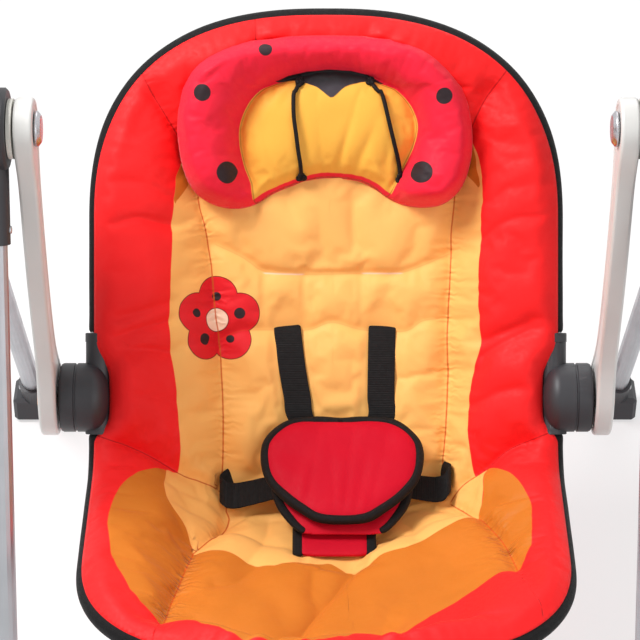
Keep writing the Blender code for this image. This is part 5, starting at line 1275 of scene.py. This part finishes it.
SLEEVE_STEP = 0.006


def frame_line(from_s, end, length, way):
    """The middle of a bent tube, from one hub round the seat's end to the other hub."""
    half = [(HALF_WIDTH, s) for s in np.linspace(from_s, end - way * length, 14)]
    half += [on_corner(end, length, way, 0, angle) for angle in np.linspace(0, math.pi / 2, 40)[1:]]
    flat = smooth_line(half + [(-x, s) for x, s in reversed(half[:-1])], spacing=SLEEVE_STEP)
    return np.c_[flat[:, 0], rail_point(flat[:, 1])]


scale = (HUB_S - FRONT_S) / (RAIL_HUB - RAIL_END)
for word, from_s, seat_end in zip(("upper", "lower"), (HUB_S + 0.0565, HUB_S - 0.0315 * scale), SEAT_ENDS):
    line = frame_line(from_s, *seat_end)
    run = np.arange(len(line)) * SLEEVE_STEP
    from_end = np.minimum(run, run[-1] - run)
    swell = 1 + 0.012 * np.sin(run / 0.011) * np.sin(run / 0.037) + 0.05 * np.exp(-((from_end / 0.007) ** 4))
    sleeve = sweep(f"{word}_binding", line, circle(SLEEVE_RADIUS, 20), swell=swell)
    finish(sleeve, "seat", PAINTS["binding"], (), 1)

# Head pillow, (x, y) in millimetres from its centre on the seat's surface

YELLOW_OUT = mm(
    (-79, -2), (-71, 16), (-60, 28), (-44, 38), (-28, 43), (-16, 39), (-5, 31), (5, 22), (13, 29), (24, 36),
    (37, 41), (53, 36), (67, 26), (78, 14), (84, 0), (84, -12), (80, -26), (72, -42), (58, -69), (46, -61),
    (32, -54), (13, -51), (-6, -51), (-29, -57), (-49, -65), (-66, -75), (-70, -56), (-76, -40), (-80, -20),
)
BLACK_OUT = mm(
    (-48, 40), (-34, 47), (-18, 51), (2, 53), (22, 52), (38, 48), (62, 32), (54, 36), (44, 39), (31, 38.5),
    (21, 34), (12, 26), (5, 20), (-4, 27), (-12, 34), (-20, 39), (-30, 41.5), (-40, 40),
)
HORSESHOE = smooth_line(mm(
    (-66, -75), (-70, -56), (-76, -40), (-80, -20), (-79, -2), (-71, 16), (-58, 32), (-40, 43), (-18, 50),
    (2, 53), (22, 52), (42, 46), (58, 38), (72, 24), (81, 10), (84, -6), (81, -24), (72, -42), (58, -69),
))
PILLOW_OUTLINE = smooth_line(PILLOW_OUT, True, 0.003)
RIM = smooth_line(np.concatenate((PILLOW_OUT[25:], PILLOW_OUT[:14])), False, 0.003)
HEM = smooth_line(PILLOW_OUT[13:21])
# Each fold of the middle: where it meets the hem, its lean, width and depth
MIDDLE_FOLDS = (
    (-18, 0.05, 4.0, 1.3), (8, -0.28, 4.5, 2.6), (24, -0.42, 5.5, 2.4),
    (-46, 0.30, 5.0, 1.2), (52, -0.2, 5.0, 1.2), (-2, 0.1, 3.5, 1.0),
)
# Its height at the seams, and how far the horseshoe and the middle rise over that
PILLOW_SEAM, HORSESHOE_RISE, MIDDLE_RISE, PILLOW_ROLL = 0.004, 0.031, 0.0155, 0.012
PILLOW_OUTWARD = np.array((0, *facing(BACK_ANGLE)))
PILLOW_UP = np.array((0, *heading(BACK_ANGLE)))
PILLOW_MIDDLE = on_seat(0.0, PILLOW_S, 0.0)


def gathers(along, gap, size, pitch, sway, slow, reach):
    """Small gathers across a seam that die out away from it."""
    return size * np.sin(2 * np.pi * along / pitch + sway * np.sin(along / slow)) * np.exp(-gap / reach)


def pillow_height(flat):
    """A raised horseshoe round a puffed middle, gathered at its seams."""
    rim, _, rim_along, _ = nearest(flat, RIM)
    inner, _, along, _ = nearest(flat, HORSESHOE)
    in_middle = inside(flat, np.concatenate((HORSESHOE, mm((46, -61), (13, -51), (-29, -57)) - (0, 0.004))))
    share = np.clip(rim / np.maximum(rim + inner, 1e-6), 0, 1)
    roll = np.sin(np.pi * share**0.85) ** 0.62 * np.clip((rim + inner) / 0.055, 0.4, 1.1)
    ring = PILLOW_SEAM + HORSESHOE_RISE * roll
    ring += gathers(rim_along, rim, 0.0007, 0.0085, 1.5, 0.012, 0.010)
    ring += gathers(along, inner, 0.0005, 0.010, 1.0, 0.013, 0.009)
    hem = nearest(flat, HEM)[0]
    x, y = flat.T
    puff = PILLOW_SEAM + MIDDLE_RISE * (1 - np.exp(-np.minimum(inner, hem * 1.3) / 0.013))
    folds = 0
    for at, lean, width, depth in MIDDLE_FOLDS:
        off = x * 1000 - at + lean * (y * 1000 + 52)
        folds -= depth / 1000 * bell(off, width) * ease((0.020 - y) / 0.055)
    folds += gathers(x, hem, 0.0007, 0.0075, 2.0, 0.01, 0.006)
    height = np.where(in_middle, puff + folds, ring)
    return height + 0.0007 * gentle(flat, 0.05, 12)


def pillow_bed(flat):
    """The surface that the pillow lies on, over the seat's rolls."""
    s = PILLOW_S + flat[:, 1]
    lift = np.maximum(bolster(np.c_[flat[:, 0], s]) - 0.002, 0.003)
    return on_seat(flat[:, 0], s, lift + 0.003)


def pillow_front(flat, depth):
    height = pillow_height(flat) * rolled(depth, PILLOW_ROLL)
    return pillow_bed(flat) + height[:, None] * PILLOW_OUTWARD


def pillow_back(flat, depth):
    sunk = 0.004 * np.sqrt(np.clip(depth / PILLOW_ROLL, 0, 1))
    return pillow_bed(flat) - sunk[:, None] * PILLOW_OUTWARD


def pillow_values(flat, depth):
    front = pillow_front(flat, depth)
    return {
        "lay": on_paper(flat),
        "print": on_paper(np.c_[flat[:, 0], (front - PILLOW_MIDDLE) @ PILLOW_UP]),
        "yellow": depth_in(flat, smooth_line(YELLOW_OUT, True)),
        "black": depth_in(flat, BLACK_OUT),
        "hem": nearest(flat, HEM)[0],
    }


def pillow_held(flat, depth):
    """Sewn down at the horseshoe's inner seam and at the border."""
    return np.maximum(bell(nearest(flat, HORSESHOE)[0], 0.003), bell(depth, 0.003))


# Each printed dot: its place (x, y) as seen from in front, and its radius, in millimetres
DOTS = ((-54, 60.5, 6.0), (-112, 22, 7.6), (-91, -47.5, 9.8), (107, 19.5, 7.2), (88, -47.5, 9.8))


def pillow_paint():
    paint = Paint("pillow_cloth")
    x, y = paint.laid()
    yellow, black = paint.value("yellow"), paint.value("black")
    hem = paint.ramp(paint.value("hem"), 0.0042, 0.0050)
    colour = paint.mix(paint.times(paint.ramp(yellow, -0.0004, 0.0004), hem), CRIMSON, YELLOW)
    edging = paint.times(paint.ramp(yellow, 0.0002, 0.0009), paint.ramp(yellow, 0.0013, 0.0021, 1.0, 0.0))
    colour = paint.mix(paint.times(edging, 0.55), colour, linear(140, 70, 20))
    # Painted highlight: the black patch is painted grey low down and fades to near black at its top, one black cloth
    # as lit and shaded copies
    dark = paint.mix(paint.ramp(y, 0.018, 0.050), linear(64, 58, 65), linear(14, 11, 13))
    colour = paint.mix(paint.ramp(black, -0.0004, 0.0004), colour, dark)
    u, v = paint.laid("print")
    for cx, cy, radius in DOTS:
        colour = paint.mix(paint.spot(u, v, (cx / 1000, cy / 1000), radius / 1000), colour, linear(40, 27, 31))
    return cloth_finish(paint, colour, x, y, sheen=0.1)


pillow = padded_form(
    "head_pillow", PILLOW_OUTLINE, 0.0027, pillow_front, pillow_back, pillow_values,
    held=pillow_held, growth=0.03, most=0.003,
)
finish(pillow, "seat", pillow_paint(), ("headrest_pillow",), 1)
pillow_tree = tree_of(pillow)

# Cords over the pillow's middle, each with a knot at both ends


def tie_knot(name, place, ahead, out, size):
    """A trefoil knot at the cord's end."""
    ahead = ahead.normalized()
    aside = ahead.cross(out).normalized()
    turns = []
    for turn in np.linspace(0, 2 * math.pi, 49)[:-1]:
        u, v = math.sin(turn) + 2 * math.sin(2 * turn), math.cos(turn) - 2 * math.cos(2 * turn)
        flat_part = (aside * u + ahead * v) * 0.00125 * size
        turns.append(place + ahead * 0.0026 * size + flat_part + out * (0.0006 - math.sin(3 * turn) * 0.0012 * size))
    knot = sweep(name, np.array(turns), circle(CORD_RADIUS * 0.95, 10), up=tuple(out), closed=True)
    return finish(knot, "seat", PAINTS["cord"])


for word, flat in (
    ("left", mm((-22, 50), (-28, 40), (-30, 26), (-30, 8), (-28, -8), (-26, -24), (-24, -36), (-23, -47))),
    ("right", mm((38, 49), (46, 41), (53, 24), (58, 6), (63, -13), (67, -29), (69, -40), (70, -48))),
):
    line = smooth_line(flat, spacing=0.005)
    lifts = CORD_RADIUS + REST_GAP + 0.002 * np.sin(np.linspace(0, math.pi, len(line))) ** 0.6
    route = [lay_on(pillow_tree, 0.09, x, PILLOW_S + y, lift) for (x, y), lift in zip(line, lifts)]
    curve = bpy.data.curves.new(f"{word}_pillow_cord", "CURVE")
    curve.dimensions = "3D"
    curve.bevel_depth, curve.bevel_resolution, curve.use_fill_caps = CORD_RADIUS, 5, True
    spline = curve.splines.new("POLY")
    spline.points.add(len(route) - 1)
    for knot, point in zip(spline.points, route):
        knot.co = (*point, 1)
    spline.use_smooth = True
    cord = add_object(curve.name, curve)
    out = Vector(surface_normal(flat[-1][0], PILLOW_S + flat[-1][1]))
    knots = [
        tie_knot(f"{word}_cord_end_knot", route[-1], route[-1] - route[-3], out, 1.0),
        tie_knot(f"{word}_cord_top_knot", route[1], route[0] - route[2], out, 0.8),
    ]
    finish(cord, "seat", PAINTS["cord"], (f"{word}_cord",))

# Harness: pad, liner, flap, straps

HARNESS_TOP, HARNESS_BOTTOM = on_seat(0.0, 0.081, 0.014), on_seat(0.0, -0.065, 0.031)
HARNESS_UP = unit(HARNESS_TOP - HARNESS_BOTTOM)
HARNESS_OUT = np.cross(ACROSS, HARNESS_UP)
HARNESS_CENTRE = (HARNESS_TOP + HARNESS_BOTTOM) / 2 + HARNESS_X * ACROSS


def harness_point(x, t, height):
    """The place x across the seat, t up the harness and height out of it, from its middle."""
    x, t, height = (np.asarray(v, float)[..., None] for v in (x, t, height))
    return HARNESS_CENTRE + x * ACROSS + t * HARNESS_UP + height * HARNESS_OUT


LINER_TOP = -PAD_DEEP / 2 - REST_GAP
STRAP_LEVEL = LINER_TOP - LINER_DEEP - REST_GAP - BUCKLE_DEEP / 2 - 0.0025
# The right half of each layer's outline, in millimetres from the harness's middle
HALF_PAD = mm(
    (0, 52.6), (23, 53.7), (49, 50), (67.5, 32.6), (72, 14.7), (68, -9.5), (55, -28.4), (37, -44),
    (21.6, -53.7), (0, -56),
)
HALF_LINER = mm((0, 10), (40, 9), (58, 0), (62, -14), (58, -31), (50, -45), (40, -57), (30, -61), (0, -61.5))


def pad_piece(name, half, level, deep, folds, node, seed, tape_deep, open_edge=False):
    """One layer of the harness pad, bound all round or, with an open edge, down to its lower end.
    Each fold is given by where it starts, its lean, width and depth, in millimetres."""
    outline = smooth_line(np.concatenate((half, (half[1:-1] * (-1, 1))[::-1])), True, 0.003)[::-1]

    def rise(depth):
        return deep / 2 * rolled(depth, 0.022)

    def front(flat, depth):
        pleats = 0
        for at, lean, width, strength in folds:
            off = flat[:, 0] * 1000 - at - lean * (flat[:, 1] * 1000)
            fall = 0.35 + 0.65 * ease((0.020 - flat[:, 1]) / 0.050)
            pleats += strength / 1000 * bell(off, width) * np.clip(depth / 0.008, 0, 1) * fall
        pleats = pleats + 0.0005 * gentle(flat, 0.035, seed) * np.clip(depth / 0.01, 0, 1)
        return harness_point(*flat.T, level + rise(depth) - pleats)

    def back(flat, depth):
        return harness_point(*flat.T, level - rise(depth) * 0.8)

    obj = padded_form(name, outline, 0.0024, front, back, lambda flat, depth: {"lay": on_paper(flat)})
    finish(obj, "seat", PAINTS["harness"], (node,), 1)
    inset = outline - 0.0032 * unit(outline - outline.mean(0))
    edge = harness_point(*inset.T, level)
    spread = 1 + 0.05 * np.sin(np.arange(len(edge)) * 0.37) * np.sin(np.arange(len(edge)) * 0.11)
    if open_edge:
        kept = outline[:, 1] > -0.0605
        turn = int(np.argmax(~kept & np.roll(kept, 1)))
        order = [i for i in (np.arange(len(edge)) + turn) % len(edge) if kept[i]]
        edge, spread = edge[order], spread[order]
        spread = spread * (0.55 + 0.45 * np.sin(np.linspace(0, math.pi, len(edge))) ** 0.25)
    tape = sweep(f"{name}_binding", edge, slab(0.0102, tape_deep), HARNESS_OUT, not open_edge, spread)
    finish(tape, "seat", PAINTS["binding"], (), 1)


pad_piece(
    "harness_top_pad", HALF_PAD, 0.0, PAD_DEEP,
    (
        (-38, 0.30, 5, 0.8), (-26, 0.15, 4.5, 1.0), (-10, -0.08, 4, 0.6),
        (6, 0.10, 4, 0.9), (20, 0.18, 5, 0.9), (34, 0.25, 5, 0.8),
    ),
    "harness_pad", 21, 0.0094,
)
pad_piece(
    "harness_lower_pad", HALF_LINER, LINER_TOP - LINER_DEEP / 2, LINER_DEEP,
    ((-20, 0, 5, 0.8), (25, 0, 5, 0.8)), "harness_pad_liner", 22, 0.0062, True,
)


def strap(name, points, ways, width, thickness, paint, node=None):
    """Webbing through the points, its width along the given way at each."""
    both = smooth_line(np.c_[points, np.asarray(ways, float) * 0.02])
    line, wide = both[:, :3], unit(both[:, 3:])
    through = unit(np.cross(wide, np.gradient(line, axis=0)))
    obj = carry(name, slab(width, thickness), line, wide, through)
    finish(obj, "seat", PAINTS[paint], (node,) if node else (), 1)


def webbing(kind, word, points, ways):
    paint = slot = "webbing_black"
    strap(f"{kind}_webbing_{word}", points, ways, WEBBING_WIDTH, 0.0017, paint, f"{kind}_strap_{word}")


for (side, word), lean in zip(SIDES, (0.04, 0.35)):
    slot_x = STRAP_SHIFT + side * STRAP_SPACING / 2
    inner_x = HARNESS_X + side * BUCKLE_WIDTH / 4
    points = [lay_on_cover(slot_x, LOWER_SLOTS + 0.002, -0.003), lay_on_cover(slot_x, LOWER_SLOTS - 0.003, 0.0016)]
    for s, lift, share in ((0.150, 0.0016, 0.1), (0.125, 0.0020, 0.35), (0.100, 0.0026, 0.7), (0.080, 0.0036, 1)):
        points.append(lay_on_cover(slot_x + (inner_x - slot_x) * share * lean, s, lift))
    for reach in (0.009, 0.0006):
        points.append(harness_point(inner_x - HARNESS_X, BUCKLE_LENGTH / 2 + reach, STRAP_LEVEL))
    webbing("shoulder", word, points, [ACROSS] * len(points))

# Each waist strap out of its slot in the cover: x, s and the height over the cover, in millimetres
WAIST_PATHS = (
    ((104, 30, -3), (111, 27, 3), (119, 20, 8), (117, 12, 13.5), (106, 7, 15.5)),
    ((-84, 26, -3), (-90, 23, 3), (-98, 16, 8), (-96, 9, 13.5), (-86, 5, 15.5)),
)
for (side, word), path in zip(SIDES, WAIST_PATHS):
    points = [lay_on_cover(x / 1000, s / 1000, lift / 1000) for x, s, lift in path]
    for reach in (0.018, 0.0006):
        points.append(harness_point(side * (BUCKLE_WIDTH / 2 + reach), 0, STRAP_LEVEL))
    slot_x = path[0][0] / 1000
    up_seat = unit(on_seat(slot_x, 0.03, 0.0) - on_seat(slot_x, 0.01, 0.0))
    webbing("waist", word, points, [up_seat] * 4 + [0.6 * up_seat + 0.4 * HARNESS_UP, HARNESS_UP, HARNESS_UP])

FLAP_SHIFT, FLAP_END = -0.007, -0.080
flap_points = [harness_point(FLAP_SHIFT, -BUCKLE_LENGTH / 2 - 0.0013, STRAP_LEVEL)]
for up, lift in ((0.040, 0.012), (0.026, 0.012), (0.010, 0.0075), (0.0, 0.003)):
    flap_points.append(on_seat(HARNESS_X + FLAP_SHIFT, FLAP_END + up, lift))
ways = [ACROSS] * len(flap_points)
strap("crotch_cover", flap_points, ways, 0.060, 0.0040, "harness", "crotch_flap")
for side, word in SIDES[::-1]:
    points = [point + ACROSS * side * 0.0325 for point in flap_points]
    strap(f"crotch_binding_{word}", points, ways, 0.0098, 0.0048, "binding")

# Floor, light and background

floor = into_mesh("floor", lambda bm: bmesh.ops.create_grid(bm, x_segments=1, y_segments=1, size=6))
floor.location = (0, 0, -0.0005)
paint = Paint("floor")
path = paint.put("ShaderNodeLightPath").outputs
seen = paint.math("MAXIMUM", path["Is Glossy Ray"], path["Is Transmission Ray"])
seen = paint.math("MAXIMUM", path["Is Camera Ray"], seen)
paint.surface((0.93, 0.93, 0.93, 1), 0.9)
glow = paint.put("ShaderNodeEmission", None, {"Color": (1, 1, 1, 1), "Strength": 1.0}).outputs[0]
parts = {0: paint.times(seen, 0.6), 1: paint.shader.outputs[0], 2: glow}
paint.plug(paint.nodes["Material Output"].inputs[0], paint.put("ShaderNodeMixShader", None, parts).outputs[0])
floor.data.materials.append(paint.material)

sky = Paint("studio", bpy.data.worlds, "Background")
bpy.context.scene.world = sky.material
path = sky.put("ShaderNodeLightPath").outputs
seen = sky.math("MAXIMUM", path["Is Camera Ray"], path["Is Glossy Ray"])
strength = sky.put("ShaderNodeMapRange", None, {0: seen, 3: 0.42, 4: 1.0}).outputs[0]
sky.plug(sky.shader.inputs["Strength"], strength)
sky.plug(sky.shader.inputs["Color"], (1, 1, 1, 1))

for name, place, aim, size, power in (
    ("key", (-1.2, 0.0, 2.3), (0, 0, 0.35), 0.8, 56),
    ("fill", (1.5, -1.7, 1.5), (0, 0, 0.35), 1.6, 15),
    ("rim", (0.5, 1.8, 1.7), (0, 0, 0.4), 1.4, 10),
):
    lamp = bpy.data.lights.new(name, "AREA")
    lamp.size, lamp.energy = size, power
    obj = add_object(name, lamp)
    obj.location = place
    obj.rotation_euler = (Vector(aim) - Vector(place)).to_track_quat("-Z", "Y").to_euler()

bpy.context.scene.view_settings.view_transform = "Standard"
